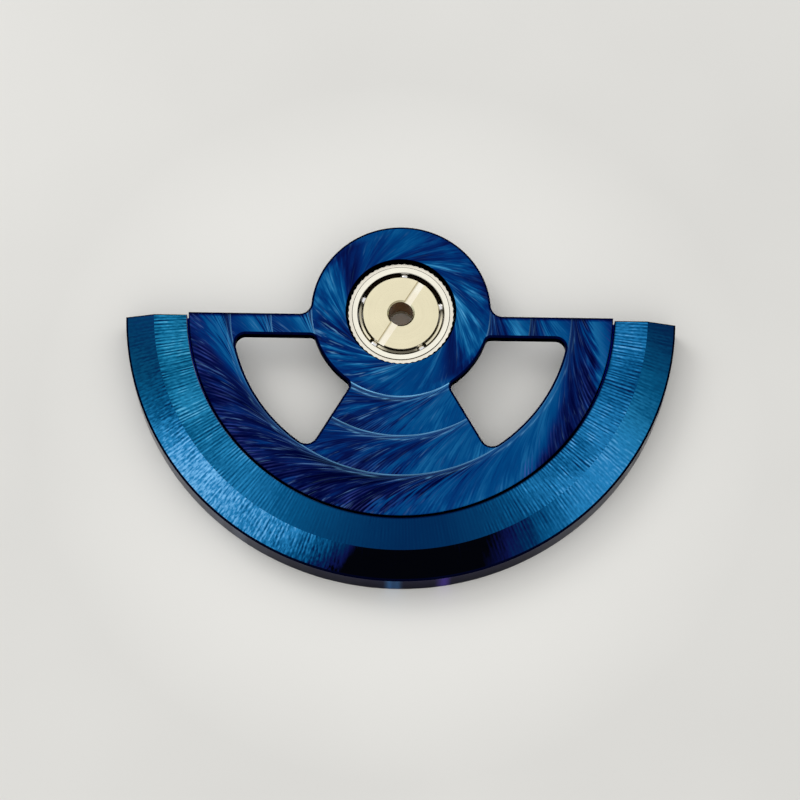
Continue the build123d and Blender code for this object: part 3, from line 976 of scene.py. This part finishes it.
def plate_rim(sizes, inset):
    """Outline of the plate, counter-clockwise, drawn in by an inset."""
    radius, hub = sizes.radius - inset, sizes.hub_radius - inset
    edge, fillet = -sizes.setback - inset, sizes.hub_fillet + inset
    y = edge + fillet
    x = math.sqrt((hub + fillet) ** 2 - y ** 2)
    lean, start = math.atan2(y, x), math.asin(edge / radius)
    points = arc((0, 0), radius, -math.pi - start, start, RIM_STEPS)
    points += [(along, edge) for along in ARM_POINTS]
    points += arc((x, y), fillet, -math.pi / 2, -math.pi + lean, FILLET_STEPS)
    points += arc((0, 0), hub, lean, math.pi - lean, HUB_STEPS)[1:-1]
    points += arc((-x, y), fillet, -lean, -math.pi / 2, FILLET_STEPS)
    return points + [(-along, edge) for along in reversed(ARM_POINTS)]


def plate_window(sizes, inset, side):
    """Outline of one window, clockwise for the right side, let out by an inset."""
    rim, hub = sizes.window_radius + inset, sizes.hub_radius - inset
    top = -sizes.setback - sizes.arm_width + inset
    out_x, out_y = math.cos(sizes.spoke_lean), math.sin(sizes.spoke_lean)
    rim_corner, foot_corner, spoke_corner, hub_corner = (
        corner + inset for corner in (sizes.rim_corner, sizes.foot_corner, sizes.spoke_corner, sizes.hub_corner)
    )

    def under_arm(corner, radius):
        """Centre of a corner that touches the arm's lower edge, at a radius."""
        y = top - corner
        return math.sqrt(radius ** 2 - y ** 2), y

    def by_spoke(corner, radius):
        """Centre of a corner that touches the spoke's edge, at a radius."""
        off = sizes.spoke_offset - inset + corner
        reach = math.sqrt(radius ** 2 - off ** 2)
        return off * out_x + reach * out_y, off * out_y - reach * out_x

    high, foot = under_arm(rim_corner, rim - rim_corner), by_spoke(foot_corner, rim - foot_corner)
    low, near = by_spoke(spoke_corner, hub + spoke_corner), under_arm(hub_corner, hub + hub_corner)
    high_turn, foot_turn = (math.atan2(y, x) for x, y in (high, foot))
    low_turn, near_turn = (math.atan2(-y, -x) for x, y in (low, near))
    spoke_turn = math.atan2(-out_y, -out_x)
    points = arc(high, rim_corner, math.pi / 2, high_turn, CORNER_STEPS)
    points += arc((0, 0), rim, high_turn, foot_turn, WINDOW_STEPS)[1:-1]
    points += arc(foot, foot_corner, foot_turn, spoke_turn, CORNER_STEPS)
    points += arc(low, spoke_corner, spoke_turn + math.tau, low_turn, CORNER_STEPS)
    points += arc((0, 0), hub, low_turn - math.pi, near_turn - math.pi, SPOKE_STEPS)[1:-1]
    points += arc(near, hub_corner, near_turn, math.pi / 2, CORNER_STEPS)
    return [(side * x, y) for x, y in points]


def plate_mesh(sizes):
    """The plate: outline and windows with a chamfer, and the stepped hole for the bearing."""
    face, line, wall, under, recess = range(5)
    top = levels(PLATE_BOX)[1]
    bottom, chamfer = top - sizes.thickness, sizes.edge_break
    middle_inset, middle_drop = chamfer * 0.45, chamfer * 0.35
    points, faces, zones = [], [], []

    def add_loop(outline, level):
        """Adds a closed loop of points and gives their numbers."""
        start = len(points)
        points.extend((x, y, level) for x, y in outline)
        return list(range(start, len(points)))

    def join(first, second, zone, rim_zone):
        """Joins two loops of as many points; the rim's arc can have a zone of its own."""
        for place in range(len(first)):
            beside = (place + 1) % len(first)
            faces.append((first[place], first[beside], second[beside], second[place]))
            zones.append(rim_zone if place < RIM_STEPS else zone)

    def close(loops, zone, flip):
        """Fills a flat face between loops."""
        order = [index for loop in loops for index in loop]
        flat = [[Vector((points[index][0], points[index][1], 0.0)) for index in loop] for loop in loops]
        for triangle in tessellate_polygon(flat):
            corners = tuple(order[index] for index in triangle)
            a, b, c = (Vector(points[index]) for index in corners)
            up = (b - a).cross(c - a).z > 0
            faces.append(corners if up != flip else tuple(reversed(corners)))
            zones.append(zone)

    def ring(radius, level):
        """A circle about the axis."""
        return add_loop([(radius * math.cos(a), radius * math.sin(a)) for a in even_angles(HOLE_STEPS)], level)

    upper, lower = [], []
    for outline, rim_zone in (
        (lambda inset: plate_rim(sizes, inset), face),
        (lambda inset: plate_window(sizes, inset, 1), line),
        (lambda inset: list(reversed(plate_window(sizes, inset, -1))), line),
    ):
        foot = add_loop(outline(0.0), bottom)
        shoulder = add_loop(outline(0.0), top - chamfer)
        middle = add_loop(outline(middle_inset), top - middle_drop)
        brow = add_loop(outline(chamfer), top)
        # Painted shade: beside the chamfers a strip of the face gets the dark edge zone, except along the rim's arc.
        margin = add_loop(outline(chamfer + sizes.edge_margin), top)
        join(foot, shoulder, wall, wall)
        join(shoulder, middle, line, line)
        join(middle, brow, line, rim_zone)
        join(brow, margin, line, rim_zone)
        upper.append(margin)
        lower.append(foot)
    well, bore, floor = sizes.recess_radius, sizes.bore_radius, bottom + sizes.recess_land
    brim, lip = ring(well + SOFT_EDGE, top), ring(well, top - SOFT_EDGE)
    deep, inner, below = ring(well, floor), ring(bore, floor), ring(bore, bottom)
    for first, second, zone in ((lip, brim, line), (deep, lip, recess), (inner, deep, recess), (below, inner, recess)):
        join(list(reversed(first)), list(reversed(second)), zone, zone)
    close([*upper, brim], face, False)
    close([*lower, below], under, True)
    return shell("striped_plate", points, faces, zones)


# Mass

def mass_mesh(sizes):
    """The half ring: band, ridge, bevel, edge break, wall, foot and ledge, with chamfered ends."""
    band, bevel, ridge, wall, line, under, ledge, lip = range(8)
    radius, height, drop, chamfer = sizes.radius, sizes.height, sizes.bevel_drop, sizes.edge_break
    crest = radius - sizes.bevel_width
    groove = crest - sizes.band_width
    heel = groove - sizes.ledge_width
    shelf = levels(PLATE_BOX)[0]
    slope = math.hypot(sizes.bevel_width, drop)
    out, down = sizes.bevel_width / slope, drop / slope
    # Painted shade: a strip of the bevel beside the rim's chamfer gets the near-black edge zone.
    half, notch, margin = sizes.ridge_width / 2, sizes.groove_break, chamfer + sizes.edge_margin
    section = [
        (heel, 0.0, under), ((heel + radius) / 2, 0.0, under), (radius - sizes.foot_break, 0.0, line),
        *((radius, level, wall) for level in (sizes.foot_break, 0.5, 1.0)),
        (radius, height - drop - chamfer, line), (radius - chamfer * out, height - drop + chamfer * down, line),
        (radius - margin * out, height - drop + margin * down, bevel),
        (crest + half * out * 2, height - half * down * 2, ridge), (crest - half, height, band),
        (groove + notch, height, lip), (groove, height - notch, line), (groove, shelf, ledge), (heel, shelf, wall),
    ]
    rows, columns = len(section), GROOVE_COLUMNS * round(sizes.groove_count / 2)
    points, faces, zones = [], [], []
    for column in range(columns + 1):
        side = -1 if column < 2 else 1
        for r, z, zone in section:
            if column in (0, columns):
                z = z - chamfer if z > height - drop and r > groove else z
                points.append((side * math.sqrt(r * r - sizes.setback ** 2), -sizes.setback, z))
            elif column in (1, columns - 1):
                y = sizes.setback + chamfer
                points.append((side * math.sqrt(r * r - y * y), -y, z))
            else:
                ends = math.asin((sizes.setback + chamfer) / r)
                angle = -math.pi + ends + (math.pi - 2 * ends) * (column - 1) / (columns - 2)
                points.append((r * math.cos(angle), r * math.sin(angle), z))
    for column in range(columns):
        for row, (_, _, zone) in enumerate(section):
            above = (row + 1) % rows
            start, beside = column * rows, (column + 1) * rows
            faces.append((start + row, start + above, beside + above, beside + row))
            at_end = column in (0, columns - 1)
            zones.append(line if at_end and zone in (band, bevel, ridge) else zone)
    faces += [tuple(range(rows)), tuple(columns * rows + row for row in reversed(range(rows)))]
    return shell("brushed_mass", points, faces, [*zones, wall, wall])


# Operators

class ROTOR_OT_turn_mass(bpy.types.Operator):
    """Turn the heavy half ring and brush its band and its bevel"""
    bl_idname = "rotor.turn_mass"
    bl_label = "Turn Mass"
    bl_options = {"REGISTER", "UNDO"}

    def execute(self, context):
        sizes, colours = given(context, "mass")
        band = band_finish(colours, sizes)
        materials = [
            band, bevel_finish(colours, sizes), band, wall_finish(colours),
            # Painted shade: the chamfers, the ends' edges and the dark margins are near black.
            turned_finish("dark_edge", paint(1, 3, 22), paint(3, 8, 36), 0.3, 0.45, sheen=0.2),
            turned_finish("blued_underside", paint(4, 34, 76), paint(12, 78, 128), 0.32, 0.45, 12.0),
            # Painted light: the ledge deep in the groove is given a bright blue, so that its shade shows navy rather
            # than black.
            turned_finish("blued_ledge", paint(2, 16, 122), paint(6, 32, 168), 0.35, 0.5, 12.0, sheen=0.3),
            groove_finish(colours),
        ]
        groove = sizes.radius - sizes.bevel_width - sizes.band_width
        values = {
            "Count": sizes.groove_count, "Depth": sizes.groove_depth, "Seed": sizes.groove_seed,
            "Lowest": sizes.height - sizes.bevel_drop + MARGIN,
            "Innermost": groove + sizes.groove_break - MARGIN,
        }
        mesh = formed(mass_mesh(sizes), "brushed_mass", brushed_grooves, values, materials)
        return finished("brushed_mass", mesh, None, "rotor", "oscillating_mass")


class ROTOR_OT_stripe_plate(bpy.types.Operator):
    """Cut the skeleton plate and cover it with circular stripes"""
    bl_idname = "rotor.stripe_plate"
    bl_label = "Stripe Plate"
    bl_options = {"REGISTER", "UNDO"}

    def execute(self, context):
        sizes, colours = given(context, "plate")
        outline_shade = colours.edge_ink
        materials = [
            plate_finish(colours, sizes),
            # Painted shade: the dark outline on the chamfers and beside them.
            turned_finish("plate_edge_line", scaled(outline_shade, 0.6), scaled(outline_shade, 1.4), 0.3, 0.45, sheen=0.3),
            # Painted shade: near-black walls.
            turned_finish("plate_wall", paint(0, 3, 22), paint(3, 9, 44), 0.3, 0.42, sheen=0.1),
            turned_finish("plate_underside", paint(4, 34, 80), paint(12, 76, 130), 0.32, 0.45, 10.0),
            # Painted shade: the recess around the bearing is near black.
            turned_finish("bearing_seat", paint(1, 1, 3), paint(4, 6, 16), 0.35, 0.5, sheen=0.05),
        ]
        return finished("striped_plate", plate_mesh(sizes), materials, "rotor", "rotor_plate")


class ROTOR_OT_knurl_ring(bpy.types.Operator):
    """Turn the bearing's outer ring and knurl its collar"""
    bl_idname = "rotor.knurl_ring"
    bl_label = "Knurl Outer Ring"
    bl_options = {"REGISTER", "UNDO"}

    def execute(self, context):
        sizes, colours = given(context, "bearing")
        land, collar, track, step, body = range(5)
        (bottom, top), seat = levels(RING_BOX), levels(PLATE_BOX)[0]
        lip, rim, shoulder = sizes.ring_lip_radius, sizes.knurl_radius, sizes.shoulder_radius
        barrel, under, soft, chamfer = sizes.ring_body_radius, sizes.shoulder_bottom, sizes.ring_break, sizes.land_break
        opening = race_opening(sizes, lip)
        section = [
            *race(sizes, opening, -opening, track), (lip, bottom + soft, track),
            (lip + soft, bottom, body), (barrel - soft, bottom, body), (barrel, bottom + soft, body),
            (barrel, under, body), (shoulder - soft, under, body), (shoulder, under + soft, body),
            (shoulder, seat - soft, body), (shoulder - soft, seat, body), (rim, seat, collar),
            (rim, seat + 2 * soft, collar), (rim, sizes.collar_top - soft, collar),
            (rim - soft, sizes.collar_top, collar), (sizes.ring_land_radius, sizes.collar_top, step),
            (sizes.ring_land_radius, top - chamfer, step), (sizes.ring_land_radius - chamfer, top, land),
            (lip + sizes.lip_break, top, track), (lip, top - sizes.lip_break, track),
        ]
        shares = (0.0, 0.08, 0.25, 0.42, 0.5, 0.58, 0.75, 0.92)
        count = sizes.knurl_count
        angles = [(tooth + share) * math.tau / count for tooth in range(count) for share in shares]
        steel = colours.ring_steel
        materials = [
            turned_finish("ring_land", scaled(steel, 0.97), scaled(steel, 1.08), 0.16, 0.26, 14.0, 0.0006),
            turned_finish("ring_collar", scaled(steel, 0.86), scaled(steel, 1.0), 0.2, 0.3, 14.0, 0.0006),
            # Painted light and shade: the race and its lip are lighter or darker by the angle around the axis.
            around_finish("ring_race", colours.cage_shade, steel, [
                (-180, 0.1), (-168, 0.15), (-150, 0.9), (-70, 0.9), (-50, 0.7), (-15, 0.6), (0, 0.5), (30, 0.55),
                (60, 0.75), (78, 0.5), (86, 0.5), (94, 0.9), (108, 1.0), (142, 1.0), (152, 0.5), (162, 0.15),
                (180, 0.1),
            ], 0.12, 0.2),
            # Painted shade: the step between land and collar is darker.
            turned_finish("ring_step", paint(150, 140, 116), paint(192, 180, 152), 0.3, 0.4),
            turned_finish("ring_body", scaled(steel, 0.7), scaled(steel, 0.9), 0.2, 0.32),
        ]
        values = {
            "Count": count, "Depth": sizes.knurl_depth, "Outer Radius": rim, "Tip Share": 0.03, "Root Share": 0.05,
            "Lowest": seat + MARGIN, "Highest": sizes.collar_top + MARGIN,
        }
        mesh = formed(turned("knurled_ring", section, angles), "knurled_ring", cut_teeth, values, materials)
        return finished("knurled_ring", mesh, None, "rotor", "bearing_outer_ring")


class ROTOR_OT_cut_gear(bpy.types.Operator):
    """Turn the drive ring and cut its teeth"""
    bl_idname = "rotor.cut_gear"
    bl_label = "Cut Drive Teeth"
    bl_options = {"REGISTER", "UNDO"}

    def execute(self, context):
        sizes, colours = given(context, "bearing")
        side, flank = range(2)
        tip, root, bore, count = sizes.gear_tip_radius, sizes.gear_root_radius, sizes.gear_bore_radius, sizes.gear_count
        (bottom, top), soft = levels(GEAR_BOX), SOFT_EDGE
        section = [
            (bore, bottom + soft, side), (bore + soft, bottom, side), (tip - soft, bottom, flank),
            (tip, bottom + soft, flank), (tip, top - soft, flank), (tip - soft, top, side),
            (bore + soft, top, side), (bore, top - soft, side),
        ]
        pitch = math.tau / count
        tip_share, root_share = (sizes.gear_land / radius / 2 / pitch for radius in (tip, root))
        shares = (-tip_share, tip_share, 0.5 - root_share, 0.5 + root_share)
        angles = [(tooth + share) * pitch for tooth in range(count) for share in shares]
        brass = colours.gear_brass
        materials = [
            turned_finish("gear_side", scaled(brass, 0.8), scaled(brass, 1.1), 0.22, 0.34),
            turned_finish("gear_flank", scaled(brass, 0.7), scaled(brass, 1.0), 0.16, 0.28),
        ]
        values = {
            "Count": count, "Depth": tip - root, "Outer Radius": tip, "Tip Share": tip_share,
            "Root Share": root_share, "Lowest": bottom - MARGIN, "Highest": top + MARGIN,
        }
        mesh = formed(turned("toothed_ring", section, angles), "toothed_ring", cut_teeth, values, materials)
        return finished("toothed_ring", smooth(mesh), None, "rotor", "drive_gear")


class ROTOR_OT_slot_cap(bpy.types.Operator):
    """Turn the inner race's cap and cut its screwdriver slot"""
    bl_idname = "rotor.slot_cap"
    bl_label = "Slot Inner Cap"
    bl_options = {"REGISTER", "UNDO"}

    def execute(self, context):
        sizes, colours = given(context, "bearing")
        face, edge, bore, track, rim, slot_floor, slot_wall = range(7)
        (bottom, top), level = levels(CAP_BOX), sizes.ball_level
        radius, neck, hole, brim = sizes.cap_radius, sizes.neck_radius, sizes.hole_radius, sizes.cap_break
        inside = sizes.ball_circle - race_reach(sizes)
        section = [
            *race(sizes, race_opening(sizes, radius), math.pi, track)[:-1], (inside, level, bore),
            (neck, level, bore), (neck, bottom, bore), (hole, bottom, bore), (hole, top - sizes.hole_break, edge),
            (hole + sizes.hole_break, top, face), (radius - brim, top, rim), (radius, top - brim, track),
        ]
        floor, width, reach = top - sizes.slot_depth, sizes.slot_width, 6.0
        block = bmesh.new()
        bmesh.ops.create_cube(block, size=1.0)
        shape = Matrix.Rotation(sizes.slot_turn, 4, "Z") @ Matrix.Diagonal((reach, width, 1.0, 1.0))
        block.transform(Matrix.Translation((0.0, 0.0, floor + 0.5)) @ shape)
        cutter = bpy.data.meshes.new("slot_cutter")
        block.to_mesh(cutter)
        block.free()
        mesh = pierced(turned("slotted_cap", section), "slotted_cap", [cutter])
        side = Vector((-math.sin(sizes.slot_turn), math.cos(sizes.slot_turn), 0.0))
        for polygon in mesh.polygons:
            centre, normal = polygon.center, polygon.normal
            if abs(centre.z - floor) < HAIR and normal.z > LEVEL:
                polygon.material_index = slot_floor
            elif centre.z > floor and abs(abs(centre.dot(side)) - width / 2) < HAIR and abs(normal.z) < UPRIGHT:
                polygon.material_index = slot_wall
        nickel = colours.cap_nickel
        materials = [
            turned_finish("cap_face", scaled(nickel, 0.975), scaled(nickel, 1.025), 0.2, 0.28, 12.0, 0.0006),
            # Painted highlight on the screw hole's chamfer at the lower right, and painted shade at its upper left.
            around_finish("cap_edge", paint(118, 96, 58), scaled(nickel, 1.3), [
                (-180, 0.75), (-130, 1.0), (-30, 1.0), (20, 0.95), (60, 0.6), (95, 0.3), (140, 0.2), (165, 0.5),
                (180, 0.75),
            ], 0.16, 0.24),
            turned_finish("cap_bore", paint(118, 78, 14), paint(168, 116, 34), 0.15, 0.25),
            turned_finish("cap_race", paint(226, 214, 182), paint(242, 232, 206), 0.2, 0.3),
            # Painted highlight on the cap's outer chamfer, with painted shade over the top and, lighter, at the bottom.
            around_finish("cap_rim", paint(70, 48, 18), paint(255, 246, 214), [
                (-180, 1.0), (-140, 0.9), (-118, 0.6), (-75, 0.55), (-60, 0.8), (-40, 1.0), (25, 0.9), (45, 0.6),
                (70, 0.3), (120, 0.25), (150, 0.5), (168, 0.95), (180, 1.0),
            ], 0.16, 0.24),
            slot_finish(colours, sizes),
            # Painted shade: the slot's walls are darker than the face.
            turned_finish("slot_wall", paint(206, 190, 150), paint(232, 218, 184), 0.25, 0.35),
        ]
        return finished("slotted_cap", smooth(mesh), materials, "inner_race", "inner_race_cap")


class ROTOR_OT_turn_sleeve(bpy.types.Operator):
    """Turn the inner race's lower half"""
    bl_idname = "rotor.turn_sleeve"
    bl_label = "Turn Inner Sleeve"
    bl_options = {"REGISTER", "UNDO"}

    def execute(self, context):
        sizes, colours = given(context, "bearing")
        body, bore, track = range(3)
        cap, neck, hole, foot = sizes.cap_radius, sizes.neck_bore_radius, sizes.hole_radius, sizes.foot_radius
        floor, level, soft = sizes.sleeve_floor, sizes.ball_level, SOFT_EDGE
        inside = sizes.ball_circle - race_reach(sizes)
        section = [
            (hole, floor - soft, bore), (hole, soft, bore), (hole + soft, 0.0, body), (foot - soft, 0.0, body),
            (foot, soft, body), (cap, sizes.sleeve_lip, body),
            *race(sizes, -race_opening(sizes, cap), -math.pi, track)[:-1], (inside, level, bore),
            (neck, level, bore), (neck, floor, bore), (hole + soft, floor, bore),
        ]
        nickel = colours.cap_nickel
        materials = [
            turned_finish("sleeve_body", scaled(nickel, 0.82), scaled(nickel, 1.04), 0.2, 0.3),
            turned_finish("sleeve_bore", scaled(nickel, 0.42), scaled(nickel, 0.62), 0.22, 0.32),
            turned_finish("sleeve_race", scaled(nickel, 0.45), scaled(nickel, 0.6), 0.12, 0.2),
        ]
        mesh = turned("race_sleeve", section)
        return finished("race_sleeve", mesh, materials, "inner_race", "inner_race_sleeve")


class ROTOR_OT_pierce_cage(bpy.types.Operator):
    """Turn the ball cage and open its pockets"""
    bl_idname = "rotor.pierce_cage"
    bl_label = "Pierce Cage"
    bl_options = {"REGISTER", "UNDO"}

    def execute(self, context):
        sizes, colours = given(context, "bearing")
        ring, pocket = range(2)
        inner, outer = sizes.cap_radius + sizes.cage_gap, sizes.ring_lip_radius - sizes.cage_gap
        (bottom, top), soft = levels(CAGE_BOX), sizes.cage_break
        section = [
            (inner, bottom, ring), (outer, bottom, ring), (outer, top - soft, ring), (outer - soft, top, ring),
            (inner + soft, top, ring), (inner, top - soft, ring),
        ]
        reach, mouth = race_reach(sizes), sizes.pocket_mouth / 2
        rise = math.asin(mouth / reach)
        quarter, deep, tall = math.pi / 2, 0.4, 1.0
        outline = arc((0, 0), reach, quarter + rise, quarter + math.tau - rise, POCKET_STEPS)
        outline += [(mouth, tall), (-mouth, tall)]
        count = len(outline)
        faces = [(n, (n + 1) % count, count + (n + 1) % count, count + n) for n in range(count)]
        faces += [tuple(reversed(range(count))), tuple(range(count, 2 * count))]
        cutters = []
        for ball in range(sizes.ball_count):
            points = [
                (along, across, sizes.ball_level + up)
                for along in (sizes.ball_circle - deep, sizes.ball_circle + deep) for across, up in outline
            ]
            cutter = shell("pocket_cutter", points, faces, [0] * len(faces))
            cutter.transform(Matrix.Rotation(ball_angle(sizes, ball), 4, "Z"))
            cutters.append(cutter)
        mesh = pierced(turned("open_cage", section), "open_cage", cutters)
        for polygon in mesh.polygons:
            flat = Vector((polygon.center.x, polygon.center.y, 0.0))
            sideways = abs(polygon.normal.dot(flat.normalized())) < SIDEWAYS
            polygon.material_index = pocket if sideways and abs(polygon.normal.z) < STRAIGHT_UP else ring
        metal_tone = colours.cage_metal
        materials = [
            # Painted light and shade: the cage is dark over its upper half and bright below, and painted shade darkens
            # it near its inner edge.
            around_finish("cage_ring", colours.cage_shade, metal_tone, [
                (-180, 0.5), (-165, 0.6), (-155, 1.0), (-122, 1.0), (-108, 0.2), (-72, 0.15), (-58, 0.8),
                (-12, 1.0), (-4, 0.7), (6, 0.06), (20, 0.0), (160, 0.0), (168, 0.1), (174, 0.45), (180, 0.5),
            ], 0.2, 0.32, sheen=0.5, bright_from=inner + 0.06),
            # Painted shade: the pockets are near black.
            turned_finish("cage_pocket", scaled(metal_tone, 0.06), scaled(metal_tone, 0.12), 0.2, 0.32),
        ]
        return finished("open_cage", smooth(mesh), materials, "cage", "ball_cage")


class ROTOR_OT_set_balls(bpy.types.Operator):
    """Set the balls in the cage's pockets"""
    bl_idname = "rotor.set_balls"
    bl_label = "Set Balls"
    bl_options = {"REGISTER", "UNDO"}

    def execute(self, context):
        sizes, colours = given(context, "bearing")
        light = colours.ball_metal
        material = turned_finish("ball_steel_finish", scaled(light, 0.9), scaled(light, 1.05), 0.05, 0.1, 6.0, 0.0002)
        for ball in range(sizes.ball_count):
            values = {
                "Diameter": sizes.ball_diameter, "Circle Radius": sizes.ball_circle, "Level": sizes.ball_level,
                "Angle": ball_angle(sizes, ball),
            }
            name = f"race_ball_{ball + 1}"
            mesh = formed(bpy.data.meshes.new(name), name, race_ball, values, [material])
            mesh = smooth(mesh, BALL_SMOOTH_LIMIT)
            finished(name, mesh, None, f"ball_body_{ball + 1}", f"ball_{ball + 1}")
        return {"FINISHED"}


class ROTOR_OT_set_stage(bpy.types.Operator):
    """Set the floor, the soft light and the camera"""
    bl_idname = "rotor.set_stage"
    bl_label = "Set Stage"
    bl_options = {"REGISTER", "UNDO"}

    def execute(self, context):
        scene = context.scene
        self.lay_floor(scene, plain(scene.watch_rotor.colours).floor)
        self.light(scene)
        self.aim_camera(scene)
        scene.view_settings.view_transform = "Standard"
        return {"FINISHED"}

    def lay_floor(self, scene, pale):
        """Lays pale paper under the rotor, with a painted pool of light around it."""
        half, low = 0.5, -MARGIN * MM
        corners = [(x * half, y * half, low) for x, y in ((-1, -1), (1, -1), (1, 1), (-1, 1))]
        mesh = bpy.data.meshes.new("stage_floor")
        mesh.from_pydata(corners, [], [(0, 1, 2, 3)])
        floor = bpy.data.objects.new("stage_floor", mesh)
        scene.collection.objects.link(floor)
        made, board = new_material("floor_paper")
        place = board.add("ShaderNodeTexCoord", output="Object")
        drift = board.noise(place, 40.0, 3.0).spread(0.35, 0.65)
        # Painted pool of light: the paper is brighter near the rotor.
        away = board.add("ShaderNodeVectorMath", {0: place, 1: (0.0, -0.005, 0.0)}, "Value", operation="DISTANCE")
        paper = board.blend_colours(drift, scaled(pale, 0.97), scaled(pale, 1.02))
        shown = board.blend_colours(away.spread(0.008, 0.018, 1.0, 0.0), paper, scaled(pale, 1.2))
        surface = board.add("ShaderNodeBsdfPrincipled", {"Base Color": shown, "Roughness": 0.9})
        board.node("ShaderNodeOutputMaterial", {"Surface": surface})
        mesh.materials.append(made)

    def light(self, scene):
        """Sets an even tent of light, pale to the camera, and one soft box."""
        world = bpy.data.worlds.new("light_tent")
        world.use_nodes = True
        scene.world = world
        world.node_tree.nodes.clear()
        board = NodeBoard(world.node_tree)
        seen = board.add("ShaderNodeLightPath", output="Is Camera Ray")
        tone = board.blend_colours(seen, (0.92, 0.92, 0.92, 1.0), (0.84, 0.84, 0.83, 1.0))
        sky = board.add("ShaderNodeBackground", {"Color": tone, "Strength": 1.0})
        board.node("ShaderNodeOutputWorld", {"Surface": sky})
        lamp = bpy.data.lights.new("soft_box", "AREA")
        lamp.shape = "DISK"
        lamp.size = 0.08
        lamp.energy = 0.045
        holder = bpy.data.objects.new("soft_box", lamp)
        spot = Vector((-0.09, 0.08, 0.11))
        holder.location = spot
        holder.rotation_euler = (-spot).to_track_quat("-Z", "Y").to_euler()
        scene.collection.objects.link(holder)

    def aim_camera(self, scene):
        """Looks at the rotor from the photograph's side, from above and with a slight roll."""
        lens = bpy.data.cameras.new("camera")
        lens.lens = 152.1
        lens.sensor_width = 36.0
        lens.clip_start = 0.01
        lens.clip_end = 10.0
        camera = bpy.data.objects.new("camera", lens)
        lean, rise, roll = 0.30237, 0.95319, math.radians(0.86)
        right, up, back = Vector((1.0, 0.0, 0.0)), Vector((0.0, rise, lean)), Vector((0.0, -lean, rise))
        across = right * math.cos(roll) + up * math.sin(roll)
        upright = up * math.cos(roll) - right * math.sin(roll)
        heading = Matrix((across, upright, back)).transposed().to_4x4()
        camera.matrix_world = Matrix.Translation((0.017 * MM, -54.21 * MM, 158.61 * MM)) @ heading
        scene.collection.objects.link(camera)
        scene.camera = camera


class VIEW3D_PT_watch_rotor(bpy.types.Panel):
    """Lists the rotor's pieces and their sizes"""
    bl_idname = "VIEW3D_PT_watch_rotor"
    bl_label = "Watch Rotor"
    bl_space_type = "VIEW_3D"
    bl_region_type = "UI"
    bl_category = "Watch Rotor"

    def draw(self, context):
        layout = self.layout
        for operator in OPERATORS:
            layout.operator(operator.bl_idname)
        settings = context.scene.watch_rotor
        for part in ("mass", "plate", "bearing", "colours"):
            box = layout.box()
            box.label(text=part.title())
            group = getattr(settings, part)
            for name in group.bl_rna.properties.keys():
                if name not in ("rna_type", "name"):
                    box.prop(group, name)


SETTINGS = (MassSizes, PlateSizes, BearingSizes, FinishColours, RotorSettings)
OPERATORS = (
    ROTOR_OT_turn_mass, ROTOR_OT_stripe_plate, ROTOR_OT_knurl_ring, ROTOR_OT_cut_gear, ROTOR_OT_slot_cap,
    ROTOR_OT_turn_sleeve, ROTOR_OT_pierce_cage, ROTOR_OT_set_balls, ROTOR_OT_set_stage,
)


def register():
    """Registers the settings, the operators and the panel."""
    for entry in (*SETTINGS, *OPERATORS, VIEW3D_PT_watch_rotor):
        bpy.utils.register_class(entry)
    bpy.types.Scene.watch_rotor = PointerProperty(type=RotorSettings)


def unregister():
    """Takes the settings, the operators and the panel away again."""
    del bpy.types.Scene.watch_rotor
    for entry in reversed((*SETTINGS, *OPERATORS, VIEW3D_PT_watch_rotor)):
        bpy.utils.unregister_class(entry)


def main():
    """Builds every piece and the stage."""
    register()
    bpy.ops.rotor.turn_mass()
    bpy.ops.rotor.stripe_plate()
    bpy.ops.rotor.knurl_ring()
    bpy.ops.rotor.cut_gear()
    bpy.ops.rotor.slot_cap()
    bpy.ops.rotor.turn_sleeve()
    bpy.ops.rotor.pierce_cage()
    bpy.ops.rotor.set_balls()
    bpy.ops.rotor.set_stage()


if __name__ == "__main__":
    main()
